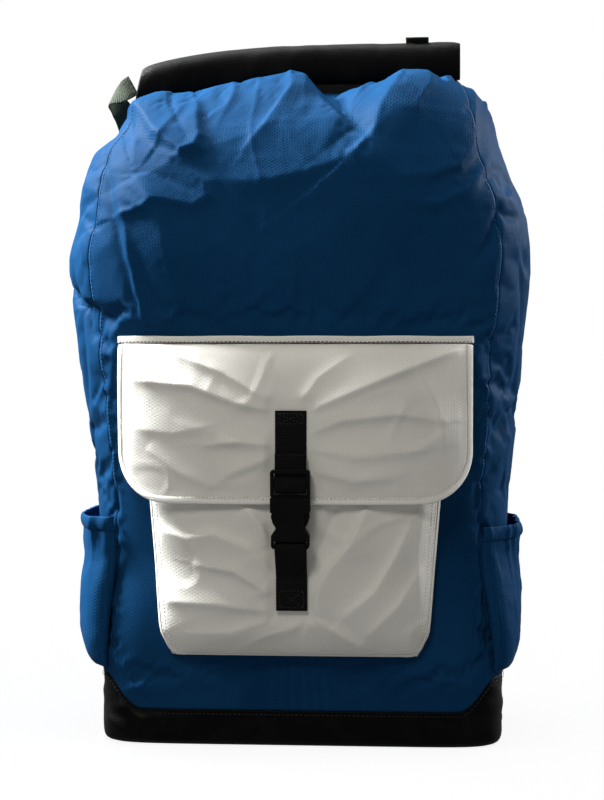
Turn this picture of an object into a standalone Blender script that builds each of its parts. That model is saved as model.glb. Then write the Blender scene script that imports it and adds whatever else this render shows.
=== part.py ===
"""Roll-top ski backpack, about 40 litres, standing on its base.

Metres, +Z up. The front, with its flap pocket, faces -Y and the harness is on the +Y side.
The shell is cut into panels as a sewn pack is. Fabric is given a stand-in thickness.
"""

import math

import bmesh
import bpy
from mathutils import Matrix, Vector

# --- Driving dimensions -----------------------------------------------------------------
GAP = 0.0003
SEAM = 0.0009
RIM_Z = 0.548
ORIGIN_SHIFT = (0.00175, -0.0104, 0.0)
# height, half width, front y, back y and sideways sway of the filled shell
BODY = (
    (0.000, 0.1665, -0.095, 0.090, 0.0030),
    (0.060, 0.168, -0.101, 0.093, 0.0030),
    (0.130, 0.172, -0.108, 0.095, 0.0015),
    (0.240, 0.179, -0.114, 0.097, 0.0005),
    (0.330, 0.189, -0.118, 0.098, -0.0015),
    (0.400, 0.196, -0.119, 0.098, -0.0020),
    (0.440, 0.190, -0.116, 0.097, 0.0000),
    (0.480, 0.181, -0.106, 0.093, -0.0070),
    (0.510, 0.172, -0.088, 0.084, -0.0085),
    (0.532, 0.156, -0.054, 0.062, -0.0005),
    (RIM_Z, 0.143, 0.000, 0.020, 0.0015),
)
FRONT_SQUARENESS = 2.8
BASE_SQUARENESS = 8.5
SQUARE_BELOW = 0.16
BACK_SQUARENESS = 4.0
FLOOR_RADIUS = 0.006
FABRIC = 0.0025
FRONT_SEAM_DEG = 36.0
BACK_SEAM_DEG = 40.0

# Black base tray: wall height at the front and back, and at the sides
TRAY_LOW = 0.030
TRAY_HIGH = 0.058
TRAY_WALL = 0.003

# The rolled closure leans down to the left
LEAN = 0.015
LEFT_DROOP = 0.78
DROOP_FROM = -0.010
COLLAR_HEIGHT = 0.0036
ROLL_LEFT_X = -0.150
ROLL_RIGHT_X = 0.137
ROLL_HEIGHT = 0.041
ROLL_DEPTH = 0.028
ROLL_Y = 0.010
ROLL_STRAP_X = 0.099
STIFFENER = (0.0030, 0.0180)
STIFFENER_SLOT = (0.0050, 0.0200)

# White flap pocket
POCKET_BOTTOM = 0.077
POCKET_TOP = 0.290
POCKET_HALF_TOP = 0.119
POCKET_HALF_LOW = 0.110
POCKET_HALF_BOTTOM = 0.100
POCKET_CHAMFER = 0.020
POCKET_BULGE = 0.022
POCKET_WALL = 0.0016
FLAP_TOP = 0.330
FLAP_BOTTOM = 0.207
FLAP_HALF = 0.140
FLAP_RADIUS = 0.036
FLAP_THICK = 0.0016
BINDING = 0.0050
HINGE_OUT = 0.0022

# Side pockets
SIDE_BOTTOM = 0.062
SIDE_TOPS = {"left": 0.187, "right": 0.180}
SIDE_BULGES = {"left": 0.0155, "right": 0.0115}
HEM_DRAW = {"left": 0.30, "right": 0.50}
SIDE_WALL = 0.0016
HEM_HEIGHT = 0.012

# Webbing and side-release buckles, drawn for 25 mm webbing
WEB_WIDTH = 0.025
WEB_THICK = 0.0015
SMALL = 0.8
JOINT_Z = 0.209
BUCKLE_TILT_DEG = 3.5
FLAP_STRAP_TOP = 0.277
POCKET_STRAP_END = 0.117

# Harness
PAD_THICK = 0.011
STRAP_HINGE = (0.103, 0.470)
HAUL_Z = 0.506
STERNUM_Z = 0.372

COLOURS = {
    "blue_ripstop": (0.020, 0.110, 0.270, 0.45),
    "white_ripstop": (0.680, 0.670, 0.630, 0.55),
    "white_tape": (0.820, 0.800, 0.730, 0.70),
    "black_coated": (0.012, 0.012, 0.012, 0.50),
    "black_webbing": (0.012, 0.012, 0.012, 0.80),
    "olive_webbing": (0.035, 0.043, 0.030, 0.80),
    "black_plastic": (0.010, 0.010, 0.010, 0.35),
    "black_mesh": (0.020, 0.020, 0.022, 0.90),
    "foam": (0.300, 0.310, 0.320, 0.95),
    "frame_plastic": (0.700, 0.700, 0.680, 0.50),
}


# --- Blender helpers --------------------------------------------------------------------
def clear_scene():
    for obj in list(bpy.data.objects):
        bpy.data.objects.remove(obj)


def material(name):
    found = bpy.data.materials.get(name)
    if found:
        return found
    made = bpy.data.materials.new(name)
    made.use_nodes = True
    shader = made.node_tree.nodes["Principled BSDF"]
    red, green, blue, roughness = COLOURS[name]
    shader.inputs["Base Color"].default_value = (red, green, blue, 1.0)
    shader.inputs["Roughness"].default_value = roughness
    shader.inputs["Metallic"].default_value = 0.0
    return made


def new_object(name, points, faces, finish, place=None):
    """A named object from points and faces, in the local axes that place gives."""
    mesh = bpy.data.meshes.new(name)
    mesh.from_pydata([tuple(p) for p in points], [], faces)
    mesh.validate()
    if finish:
        mesh.materials.append(material(finish))
    obj = bpy.data.objects.new(name, mesh)
    bpy.context.scene.collection.objects.link(obj)
    if place is not None:
        obj.matrix_world = place
    return obj


def slab(name, outer, inner, finish, place=None):
    """A closed sheet between two grids of the same shape, outer on the right of its rows."""
    rows, columns = len(outer), len(outer[0])
    count = rows * columns
    points = [p for row in outer for p in row] + [p for row in inner for p in row]

    def at(side, i, j):
        return side * count + i * columns + j

    faces = []
    for i in range(rows - 1):
        for j in range(columns - 1):
            corners = [(i, j), (i, j + 1), (i + 1, j + 1), (i + 1, j)]
            faces.append([at(0, *c) for c in corners])
            faces.append([at(1, *c) for c in reversed(corners)])
    edge = [(0, j) for j in range(columns)]
    edge += [(i, columns - 1) for i in range(1, rows)]
    edge += [(rows - 1, j) for j in range(columns - 2, -1, -1)]
    edge += [(i, 0) for i in range(rows - 2, 0, -1)]
    for a, b in zip(edge, edge[1:] + edge[:1]):
        faces.append([at(0, *b), at(0, *a), at(1, *a), at(1, *b)])
    made = new_object(name, points, faces, finish, place)
    turn_outwards(made)
    return made


def rings_solid(name, rings, finish, closed_loop=False):
    """A solid skinned over closed rings. Its two end rings are capped, or joined to each other."""
    size = len(rings[0])
    points = [p for ring in rings for p in ring]
    faces = []
    spans = list(zip(range(len(rings) - 1), range(1, len(rings))))
    if closed_loop:
        spans.append((len(rings) - 1, 0))
    for a, b in spans:
        for j in range(size):
            k = (j + 1) % size
            faces.append([a * size + j, a * size + k, b * size + k, b * size + j])
    if not closed_loop:
        faces.append([j for j in range(size)][::-1])
        last = (len(rings) - 1) * size
        faces.append([last + j for j in range(size)])
    return new_object(name, points, faces, finish)


def curve_through(rows, steps):
    """Points on a smooth curve through rows of numbers, evenly spread between them."""
    rows = [tuple(r) for r in rows]
    ends = [tuple(2 * a - b for a, b in zip(rows[0], rows[1]))]
    ends += rows + [tuple(2 * a - b for a, b in zip(rows[-1], rows[-2]))]
    made = []
    for i in range(1, len(ends) - 2):
        before, start, stop, after = ends[i - 1 : i + 3]
        for step in range(steps):
            made.append(hermite(before, start, stop, after, step / steps))
    return made + [rows[-1]]


def hermite(before, start, stop, after, t):
    made = []
    for p, a, b, n in zip(before, start, stop, after):
        bend = 2 * p - 5 * a + 4 * b - n
        twist = -p + 3 * a - 3 * b + n
        made.append(a + 0.5 * ((b - p) * t + bend * t * t + twist * t**3))
    return tuple(made)


def ribbon(name, points, sides, widths, thick, finish, steps=3):
    """A flat strap along points. Each side is the direction of its width there."""
    thicks = thick if isinstance(thick, tuple) else even(thick, points)
    rows = [(*p, *s, w, t) for p, s, w, t in zip(points, sides, widths, thicks)]
    path = curve_through(rows, steps)
    rings = []
    for i, row in enumerate(path):
        before, after = path[max(i - 1, 0)], path[min(i + 1, len(path) - 1)]
        along = (Vector(after[:3]) - Vector(before[:3])).normalized()
        side = Vector(row[3:6])
        side = (side - along * side.dot(along)).normalized()
        up = along.cross(side)
        here = Vector(row[:3])
        side, up = side * row[6] / 2, up * row[7] / 2
        rings.append([here + side * a + up * b for a, b in ((1, 1), (-1, 1), (-1, -1), (1, -1))])
    made = rings_solid(name, rings, finish)
    turn_outwards(made)
    return made


def even(value, points):
    return [value] * len(points)


def triangulate(obj):
    """Splits every face into triangles, so that a twisted strap's faces are flat."""
    work = bmesh.new()
    work.from_mesh(obj.data)
    bmesh.ops.triangulate(work, faces=work.faces)
    work.to_mesh(obj.data)
    work.free()


def rounded(corners, steps=4):
    """A closed outline whose corners (x, z, radius) are turned into arcs."""
    outline = []
    for i, (x, z, radius) in enumerate(corners):
        here = Vector((x, z))
        if radius == 0:
            outline.append(here)
            continue
        before = (Vector(corners[i - 1][:2]) - here).normalized()
        after = (Vector(corners[(i + 1) % len(corners)][:2]) - here).normalized()
        half = before.angle(after) / 2
        centre = here + (before + after).normalized() * radius / math.sin(half)
        first = here + before * radius / math.tan(half) - centre
        last = here + after * radius / math.tan(half) - centre
        turn = first.angle_signed(last)
        for step in range(steps + 1):
            outline.append(centre + Matrix.Rotation(-turn * step / steps, 2) @ first)
    return outline


def prism(name, outline, low_y, high_y, finish, place, k=1.0):
    """An outline in the XZ plane, k times as large, pulled from low_y to high_y."""
    size = len(outline)
    points = [(p[0] * k, low_y * k, p[1] * k) for p in outline]
    points += [(p[0] * k, high_y * k, p[1] * k) for p in outline]
    faces = [[j, (j + 1) % size, size + (j + 1) % size, size + j] for j in range(size)]
    faces += [list(range(size))[::-1], list(range(size, 2 * size))]
    obj = new_object(name, points, faces, finish, place)
    turn_outwards(obj)
    return obj


def turn_outwards(obj):
    """Reverses the faces of a closed mesh that is inside out."""
    volume = 0.0
    for face in obj.data.polygons:
        corners = [obj.data.vertices[v].co for v in face.vertices]
        for b, c in zip(corners[1:-1], corners[2:]):
            volume += corners[0].dot(b.cross(c))
    if volume < 0:
        obj.data.flip_normals()


def cut_box(obj, half_x, y_range, z_range, k):
    """Cuts a box, given in obj's own axes, out of obj."""
    corners = [(-half_x, z_range[0]), (half_x, z_range[0]), (half_x, z_range[1]), (-half_x, z_range[1])]
    cutter = prism(obj.name + "_cutter", corners, *y_range, None, obj.matrix_world, k)
    combine(obj, cutter, "DIFFERENCE")


def combine(obj, other, operation):
    other.hide_render = True
    other.display_type = "WIRE"
    modifier = obj.modifiers.new(operation.title(), "BOOLEAN")
    modifier.operation = operation
    modifier.solver = "EXACT"
    modifier.object = other


# --- The shape of the filled shell ------------------------------------------------------
def smoothstep(low, high, value):
    t = min(max((value - low) / (high - low), 0.0), 1.0)
    return t * t * (3 - 2 * t)


def lean(x):
    """How far the closure at x is raised by the slump of the filled pack."""
    return LEAN * x - LEFT_DROOP * max(0.0, DROOP_FROM - x) ** 2


def section(z):
    """Half width, middle y, half depth and middle x of the shell at height z."""
    z = min(max(z, BODY[0][0]), BODY[-1][0])
    low = max(i for i in range(len(BODY) - 1) if BODY[i][0] <= z)
    rows = [BODY[max(low - 1, 0)], BODY[low], BODY[low + 1], BODY[min(low + 2, len(BODY) - 1)]]
    t = (z - rows[1][0]) / (rows[2][0] - rows[1][0])
    half, front, back, sway = hermite(*[row[1:] for row in rows], t)
    inset = 0.0
    if z < FLOOR_RADIUS:
        inset = FLOOR_RADIUS - math.sqrt(FLOOR_RADIUS**2 - (FLOOR_RADIUS - z) ** 2)
    return half - inset, (front + back) / 2, (back - front) / 2 - inset, sway


def squareness(z, front):
    """How boxy the shell's outline is: its front corners are tighter near the base."""
    if not front:
        return BACK_SQUARENESS
    return BASE_SQUARENESS + (FRONT_SQUARENESS - BASE_SQUARENESS) * smoothstep(0.0, SQUARE_BELOW, z)


def level(x, y, z):
    """1 on the shell's surface, less inside it and more outside it."""
    half, middle, depth, sway = section(z)
    power = squareness(z, y < middle)
    return (abs(x - sway) / half) ** power + (abs(y - middle) / depth) ** power


def shell(angle_deg, z, out=0.0):
    """A point out from the surface, at an angle from +X round towards the back."""
    half, middle, depth, sway = section(z)
    c, s = math.cos(math.radians(angle_deg)), math.sin(math.radians(angle_deg))
    power = 2 / squareness(z, s < 0)
    x = sway + half * math.copysign(abs(c) ** power, c)
    y = middle + depth * math.copysign(abs(s) ** power, s)
    point = Vector((x, y, z))
    if out:
        point += shell_normal(point) * out
    raised = lean(x) * smoothstep(0.40, RIM_Z, z)
    return point + Vector((0, 0, raised))


def shell_normal(point):
    h = 1e-5
    x, y, z = point
    slope = Vector(
        (
            level(x + h, y, z) - level(x - h, y, z),
            level(x, y + h, z) - level(x, y - h, z),
            level(x, y, z + h) - level(x, y, z - h) if h < z < RIM_Z - h else 0.0,
        )
    )
    return slope.normalized()


def front_y(x, z):
    """y of the shell's front surface at (x, z)."""
    half, middle, depth, sway = section(z)
    power = squareness(z, True)
    return middle - depth * (1 - (abs(x - sway) / half) ** power) ** (1 / power)


def back_y(x, z):
    half, middle, depth, sway = section(z)
    return middle + depth * (1 - (abs(x - sway) / half) ** BACK_SQUARENESS) ** (1 / BACK_SQUARENESS)


def tray_top(angle_deg):
    """Height of the black tray's edge: low at the front and back, high at the sides."""
    side = abs(math.cos(math.radians(angle_deg)))
    return TRAY_LOW + (TRAY_HIGH - TRAY_LOW) * smoothstep(0.35, 0.90, side)


def fractions(count):
    return [i / count for i in range(count + 1)]


def patch(name, angles, low, high, inner, outer, finish, columns, rows):
    """A piece of shell between two angles. low and high give its height limits at an angle."""
    turned = [angles[0] + (angles[1] - angles[0]) * t for t in fractions(columns)]

    def grid(out):
        return [
            [shell(a, low(a) + (high(a) - low(a)) * t, out(a, t) if callable(out) else out) for a in turned]
            for t in fractions(rows)
        ]

    return slab(name, grid(outer), grid(inner), finish)


# --- Shell ------------------------------------------------------------------------------
def make_panels():
    """Front, back and side panels, with a seam gap between them."""
    split = 0.36
    seams = {
        "side_panel_right": (-FRONT_SEAM_DEG + split, BACK_SEAM_DEG - split, 12),
        "back_panel": (BACK_SEAM_DEG + split, 180 - BACK_SEAM_DEG - split, 12),
        "side_panel_left": (180 - BACK_SEAM_DEG + split, 180 + FRONT_SEAM_DEG - split, 12),
        "front_panel": (180 + FRONT_SEAM_DEG + split, 360 - FRONT_SEAM_DEG - split, 16),
    }
    for name, (first, last, columns) in seams.items():
        finish = "black_coated" if name == "back_panel" else "blue_ripstop"
        patch(
            name, (first, last), lambda a: tray_top(a) + SEAM, lambda a: RIM_Z, -FABRIC, 0.0, finish, columns, 18
        )


def make_tray():
    """The base tray: a rounded floor with a wall that the blue panels are sewn to."""
    angles = [i * 360 / 48 for i in range(48)]
    heights = (0.0, 0.25, 0.6, 1.0)

    def ring(z_of, out):
        return [shell(a, z_of(a), out) for a in angles]

    outer = [
        [Vector((p.x * share, p.y * share, 0.0)) for p in ring(lambda a: 0.0, 0.0)] for share in (0.15, 1.0)
    ]
    for t in (0.15, 0.45, 1.0):
        outer.append(ring(lambda a, t=t: FLOOR_RADIUS * t, 0.0))
    for t in heights[1:]:
        outer.append(ring(lambda a, t=t: FLOOR_RADIUS + (tray_top(a) - FLOOR_RADIUS) * t, 0.0))
    inner = [ring(lambda a, t=t: FLOOR_RADIUS + (tray_top(a) - FLOOR_RADIUS) * t, -TRAY_WALL) for t in (1.0, 0.3)]
    floor = [Vector((p.x, p.y, TRAY_WALL)) * 1.0 for p in ring(lambda a: FLOOR_RADIUS, -2 * TRAY_WALL)]
    inner += [floor, [Vector((p.x * 0.15, p.y * 0.15, TRAY_WALL)) for p in floor]]
    made = rings_solid("base_tray", outer + inner, "black_coated")
    turn_outwards(made)


def make_collar():
    """The black collar's lowest turn, which stands on the rim of the mouth."""
    angles = [i * 360 / 40 for i in range(40)]

    def ring(out, height):
        made = []
        for a in angles:
            p = shell(a, RIM_Z)
            flat = Vector((math.copysign(1, p.x) * (p.x / 0.142) ** 2 * 0.3, p.y - ROLL_Y, 0)).normalized()
            made.append(p + flat * out + Vector((0, 0, height)))
        return made

    top = SEAM + COLLAR_HEIGHT
    rings = [ring(0.0, SEAM), ring(0.0, top), ring(-FABRIC, top), ring(-FABRIC, SEAM)]
    turn_outwards(rings_solid("mouth_collar", rings, "black_coated", closed_loop=True))


def make_back_inserts():
    """Foam pad and frame sheet, in the sleeve inside the back panel."""
    span = (62, 118)
    for name, depth, thick, finish in (
        ("back_foam_pad", 0.0034, 0.0060, "foam"),
        ("frame_sheet", 0.0100, 0.0015, "frame_plastic"),
    ):
        patch(name, span, lambda a: 0.045, lambda a: 0.440, -depth - thick, -depth, finish, 8, 8)


def make_back_cushion():
    """The padded mesh panel that rests on the wearer's back."""

    def crown(a, t):
        across = 1 - abs((a - 90) / 32) ** 6
        along = 1 - abs(2 * t - 1) ** 10
        return 2 * GAP + 0.0010 + 0.0080 * math.sqrt(max(across * along, 0.0))

    patch("back_cushion", (58, 122), lambda a: 0.060, lambda a: 0.440, 2 * GAP, crown, "black_mesh", 14, 12)


# --- Roll-top closure -------------------------------------------------------------------
def roll_centre(x):
    return Vector((x, ROLL_Y, RIM_Z + SEAM + GAP + COLLAR_HEIGHT + lean(x) + ROLL_HEIGHT / 2))


def make_roll():
    """The rolled collar, a flattened tube with the stiffener in the slot along its middle."""
    sides = 16
    spots = [ROLL_LEFT_X + (ROLL_RIGHT_X - ROLL_LEFT_X) * t for t in fractions(14)]

    def oval(x, depth, height, power):
        made = []
        for i in range(sides):
            a = 2 * math.pi * (i + 0.5) / sides
            c, s = math.cos(a), math.sin(a)
            y = depth / 2 * math.copysign(abs(c) ** power, c)
            z = height / 2 * math.copysign(abs(s) ** power, s)
            made.append(roll_centre(x) + Vector((0, y, z)))
        return made

    outside = [oval(x, ROLL_DEPTH, ROLL_HEIGHT, 0.75) for x in spots]
    slot = [oval(x, *STIFFENER_SLOT, 0.5) for x in reversed(spots)]
    turn_outwards(rings_solid("rolled_collar", outside + slot, "black_coated", closed_loop=True))
    inside = [x for x in spots if ROLL_LEFT_X + 0.004 < x < ROLL_RIGHT_X - 0.004]
    depth, height = STIFFENER
    bar = []
    for x in inside:
        corners = ((1, 1), (-1, 1), (-1, -1), (1, -1))
        bar.append([roll_centre(x) + Vector((0, depth / 2 * b, height / 2 * c)) for b, c in corners])
    turn_outwards(rings_solid("collar_stiffener", bar, "frame_plastic"))


# --- Flap pocket ------------------------------------------------------------------------
def pocket_profile(z):
    """Fullness of the pocket at height z, from 0 at its seams to 1."""
    low = min(max((z - POCKET_BOTTOM) / 0.045, 0.0), 1.0)
    high = min(max((FLAP_TOP - z) / 0.095, 0.0), 1.0)
    return math.sqrt(1 - (1 - low) ** 2) * math.sqrt(1 - (1 - high) ** 2)


def fullness(x, half):
    return math.sqrt(max(1 - min(abs(x) / half, 1.0) ** 4, 0.0))


def pocket_half(z):
    """Half width of the pocket, which tapers down and has cut corners."""
    knee = POCKET_BOTTOM + POCKET_CHAMFER
    if z < knee:
        share = (z - POCKET_BOTTOM) / POCKET_CHAMFER
        return POCKET_HALF_BOTTOM + (POCKET_HALF_LOW - POCKET_HALF_BOTTOM) * share
    return POCKET_HALF_LOW + (POCKET_HALF_TOP - POCKET_HALF_LOW) * min((z - knee) / 0.11, 1.0)


def pocket_inner(x, z):
    return front_y(x, z) - 2 * GAP - POCKET_BULGE * pocket_profile(z) * fullness(x, pocket_half(z))


def flap_inner(x, z):
    """y of the flap's back, which clears the pocket and spans past its sides."""
    rest = 2 * GAP + POCKET_WALL + 0.0008 + 0.0010 * smoothstep(FLAP_TOP, FLAP_TOP - 0.01, z)
    return front_y(x, z) - rest - POCKET_BULGE * pocket_profile(z) * fullness(x, 0.152)


def flap_half(z):
    up = z - FLAP_BOTTOM
    if up >= FLAP_RADIUS:
        return FLAP_HALF
    return FLAP_HALF - FLAP_RADIUS + math.sqrt(FLAP_RADIUS**2 - (FLAP_RADIUS - up) ** 2)


def make_pocket():
    """The pouch: a bulged front wall sewn down at its sides and bottom, open at the top."""
    heights = [POCKET_BOTTOM + POCKET_CHAMFER * t for t in (0.0, 0.3, 0.65, 1.0)]
    heights += [POCKET_BOTTOM + POCKET_CHAMFER + (POCKET_TOP - 0.097) * t for t in fractions(9)[1:]]
    across = [math.sin(math.pi / 2 * t) for t in (-1, -0.8, -0.6, -0.4, -0.2, 0, 0.2, 0.4, 0.6, 0.8, 1)]

    def grid(out):
        return [
            [Vector((s * pocket_half(z), pocket_inner(s * pocket_half(z), z) - out, z)) for s in across]
            for z in heights
        ]

    slab("pocket_body", grid(POCKET_WALL), grid(0.0), "white_ripstop")


def flap_heights():
    arc = [FLAP_BOTTOM + FLAP_RADIUS * (1 - math.cos(math.radians(a))) for a in (0, 18, 36, 54, 72, 90)]
    return arc + [FLAP_BOTTOM + FLAP_RADIUS + (FLAP_TOP - FLAP_BOTTOM - FLAP_RADIUS) * t for t in fractions(6)[1:]]


def make_flap():
    """The flap hangs from its top seam over the pocket, inside its edge binding."""
    across = [math.sin(math.pi / 2 * t / 6) for t in range(-6, 7)]

    def grid(out):
        return [
            [Vector((s * flap_half(z), flap_inner(s * flap_half(z), z) - out, z)) for s in across]
            for z in flap_heights()
        ]

    slab("pocket_flap", grid(FLAP_THICK), grid(0.0), "white_ripstop")
    edge = flap_edge()
    places, outwards = [], []
    for before, here, after in zip([edge[0]] + edge[:-1], edge, edge[1:] + [edge[-1]]):
        along = (Vector(after) - Vector(before)).normalized()
        out = Vector((-along[1], along[0]))
        if out.dot(Vector((here[0], here[1] - 0.3))) < 0:
            out = -out
        x = here[0] + out[0] * (GAP + BINDING / 2)
        z = here[1] + out[1] * (GAP + BINDING / 2)
        inside = (x - out[0] * 0.004, z - out[1] * 0.004)
        slope = (flap_inner(x, z) - flap_inner(*inside)) / 0.004
        places.append(Vector((x, flap_inner(x, z) - FLAP_THICK / 2, z)))
        outwards.append(Vector((out[0], slope, out[1])))
    ribbon("flap_edge_binding", places, outwards, even(BINDING, places), 0.0026, "white_tape", steps=1)


def flap_edge():
    """Points (x, z) round the flap's sides and bottom."""
    left = [(-flap_half(z), z) for z in reversed(flap_heights())]
    bottom = [((FLAP_HALF - FLAP_RADIUS) * t, FLAP_BOTTOM) for t in (-0.6, -0.3, 0, 0.3, 0.6)]
    return left + bottom + [(-x, z) for x, z in reversed(left)]


def make_flap_tape():
    """The tape over the seam that the flap hangs from."""
    spots = [FLAP_HALF * (t / 8) for t in range(-8, 9)]
    z = FLAP_TOP + GAP + 0.0032
    places = [Vector((x, front_y(x, z) - GAP - 0.0015, z)) for x in spots]
    ribbon("flap_seam_tape", places, even(Vector((0, 0, 1)), spots), even(0.0058, spots), 0.0020, "white_tape", steps=1)


# --- Webbing and side-release buckles ---------------------------------------------------
FEMALE = [(0.0158, 0.0, 0.0012), (0.0158, -0.0125, 0.0012), (0.0115, -0.0125, 0.0), (0.0115, -0.0255, 0.0015)]
FEMALE += [(0.0152, -0.0305, 0.0020), (0.0152, -0.0412, 0.0030)]
ARM = [(0.0086, -0.0003, 0.0), (0.0124, -0.0003, 0.0), (0.0124, -0.0129, 0.0), (0.0151, -0.0132, 0.0007)]
ARM += [(0.0153, -0.0165, 0.0020), (0.0138, -0.0212, 0.0040), (0.0110, -0.0252, 0.0012)]
ARM += [(0.0088, -0.0246, 0.0010), (0.0094, -0.0150, 0.0)]
SLOT_HALF = 0.0131


def mirrored(corners):
    return corners + [(-x, z, r) for x, z, r in reversed(corners)]


def make_buckle(prefix, place, k=1.0):
    """A side-release buckle: socket, ladder-lock half and its two spring arms."""
    male = prism(
        prefix + "_male", rounded(mirrored([(0.0158, 0.0003, 0.0008), (0.0158, 0.0215, 0.0022)])),
        -0.0034, 0.0034, "black_plastic", place, k,
    )
    guide = prism(
        prefix + "_guide", rounded(mirrored([(0.0030, 0.0012, 0.0), (0.0030, -0.0235, 0.0012)])),
        -0.0022, 0.0022, None, place, k,
    )
    combine(male, guide, "UNION")
    cut_box(male, SLOT_HALF, (-0.006, 0.006), (0.0014, 0.0068), k)
    cut_box(male, SLOT_HALF, (-0.006, 0.006), (0.0116, 0.0188), k)
    cut_box(male, SLOT_HALF, (-0.006, -0.0013), (0.0060, 0.0120), k)
    cut_box(male, SLOT_HALF, (0.0013, 0.006), (0.0060, 0.0120), k)
    cut_box(male, SLOT_HALF, (-0.0005, 0.006), (0.0180, 0.0230), k)
    female = prism(prefix + "_female", rounded(mirrored(FEMALE)), -0.0050, 0.0050, "black_plastic", place, k)
    cut_box(female, 0.0129, (-0.0029, 0.0029), (-0.0270, 0.0010), k)
    cut_box(female, SLOT_HALF, (-0.006, 0.006), (-0.0385, -0.0350), k)
    cut_box(female, SLOT_HALF, (-0.006, -0.0020), (-0.0430, -0.0380), k)
    cut_box(female, SLOT_HALF, (0.0020, 0.006), (-0.0430, -0.0380), k)
    for side, sign in (("right", 1), ("left", -1)):
        corners = [(sign * x, z, r) for x, z, r in ARM]
        if sign < 0:
            corners.reverse()
        prism(f"{prefix}_arm_{side}", rounded(corners, 3), -0.0024, 0.0024, "black_plastic", place, k)


# Local (y, z) of webbing in a buckle. The load strap runs behind the ladder bar and back over it.
LADDER_PATH = ((0.0046, 0.0260), (0.0043, 0.0200), (0.0037, 0.0120), (0.0032, 0.0065), (0.0019, 0.0036))
LADDER_PATH += ((0.0000, 0.0032), (-0.0019, 0.0040), (-0.0027, 0.0068), (-0.0027, 0.0108), (-0.0020, 0.0138))
LADDER_PATH += ((-0.0002, 0.0162), (0.0009, 0.0190), (0.0016, 0.0240), (0.0024, 0.0340))
BAR_PATH = ((0.0058, -0.0560), (0.0049, -0.0480), (0.0040, -0.0410), (0.0031, -0.0380), (0.0019, -0.03675))
BAR_PATH += ((0.0000, -0.03655), (-0.0019, -0.03675), (-0.0031, -0.0380), (-0.0036, -0.0405), (-0.0030, -0.0440))
BAR_PATH += ((0.0010, -0.0500),)


def in_buckle(place, path, k):
    return [place @ Vector((0, y * k, z * k)) for y, z in path]


def side_of(place):
    return place.to_3x3() @ Vector((1, 0, 0))


def front_buckle_place():
    """Where the front buckle's two halves meet, tilted to follow the pocket."""
    y = flap_inner(0, JOINT_Z + 0.016) - FLAP_THICK - 0.0064
    return Matrix.Translation((0, y, JOINT_Z)) @ Matrix.Rotation(math.radians(BUCKLE_TILT_DEG), 4, "X")


def make_front_straps():
    place = front_buckle_place()
    make_buckle("pocket_buckle", place)
    x_side = Vector((1, 0, 0))
    lift = GAP + WEB_THICK / 2 + 0.0001
    spots = (FLAP_STRAP_TOP, 0.270, 0.258, 0.248)
    upper = [Vector((0, flap_inner(0, z) - FLAP_THICK - lift, z)) for z in spots]
    upper += in_buckle(place, LADDER_PATH, 1.0)
    ribbon("flap_strap", upper, even(x_side, upper), even(WEB_WIDTH, upper), WEB_THICK, "black_webbing")
    low_spots = (0.146, 0.140, 0.130, POCKET_STRAP_END)
    lower = in_buckle(place, BAR_PATH, 1.0)
    lower += [Vector((0, pocket_inner(0, z) - POCKET_WALL - lift - 0.0006, z)) for z in low_spots]
    ribbon("pocket_strap", lower, even(x_side, lower), even(WEB_WIDTH, lower), WEB_THICK, "black_webbing")


# --- Side pockets -----------------------------------------------------------------------
def side_fullness(side, a, z):
    """How far a side pocket stands off the shell at angle a and height z."""
    middle = 0.0 if side == "right" else 180.0
    s = (a - middle) / (FRONT_SEAM_DEG if (a < middle) == (side == "right") else BACK_SEAM_DEG)
    low = min(max((z - SIDE_BOTTOM) / 0.035, 0.0), 1.0)
    neck = 1 - HEM_DRAW[side] * smoothstep(0.115, SIDE_TOPS[side], z)
    full = math.sqrt(1 - (1 - low) ** 2) * neck * math.sqrt(max(1 - abs(s) ** 4, 0.0))
    return GAP + 0.0008 + SIDE_BULGES[side] * full


def make_side_pockets():
    """Stretch-top pockets over the lower side panels, each with an elastic hem."""
    spans = {"right": (-FRONT_SEAM_DEG, BACK_SEAM_DEG), "left": (180 - BACK_SEAM_DEG, 180 + FRONT_SEAM_DEG)}
    for side, span in spans.items():
        make_side_pocket(side, span, SIDE_TOPS[side] - HEM_HEIGHT)


def make_side_pocket(side, span, hem_low):
    def pouch(a, t):
        return side_fullness(side, a, SIDE_BOTTOM + (hem_low - GAP - SIDE_BOTTOM) * t)

    def hem(a, t):
        return side_fullness(side, a, hem_low + HEM_HEIGHT * t)

    patch(
        f"side_pocket_{side}", span, lambda a: SIDE_BOTTOM, lambda a: hem_low - GAP,
        pouch, lambda a, t: pouch(a, t) + SIDE_WALL, "blue_ripstop", 12, 9,
    )
    patch(
        f"side_pocket_hem_{side}", span, lambda a: hem_low, lambda a: hem_low + HEM_HEIGHT,
        hem, lambda a, t: hem(a, t) + SIDE_WALL + 0.0010, "blue_ripstop", 12, 2,
    )


# --- Harness ----------------------------------------------------------------------------
def mirror_x(points, sign):
    return [Vector((p[0] * sign, p[1], p[2])) for p in points]


# Centre line of the right shoulder strap, from its yoke seam down to its buckle end: x, y, z
STRAP_LINE = ((0.060, 0.0945, 0.4880), (0.061, 0.104, 0.4960), (0.064, 0.119, 0.4985), (0.071, 0.137, 0.488))
STRAP_LINE += ((0.080, 0.151, 0.458), (0.088, 0.157, 0.418), (0.094, 0.158, 0.370), (0.098, 0.153, 0.320))
STRAP_LINE += ((0.101, 0.144, 0.270), (0.105, 0.133, 0.225))
STRAP_WIDTHS = (0.046, 0.047, 0.048, 0.052, 0.058, 0.062, 0.062, 0.060, 0.052, 0.040)
STRAP_THICKS = (0.0025, 0.006, 0.010, 0.011, 0.011, 0.011, 0.011, 0.011, 0.011, 0.007)
STRAP_END_DIRECTION = Vector((0.0035, -0.0070, -0.0270)).normalized()
LOCK_DROP = 0.0197


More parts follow.
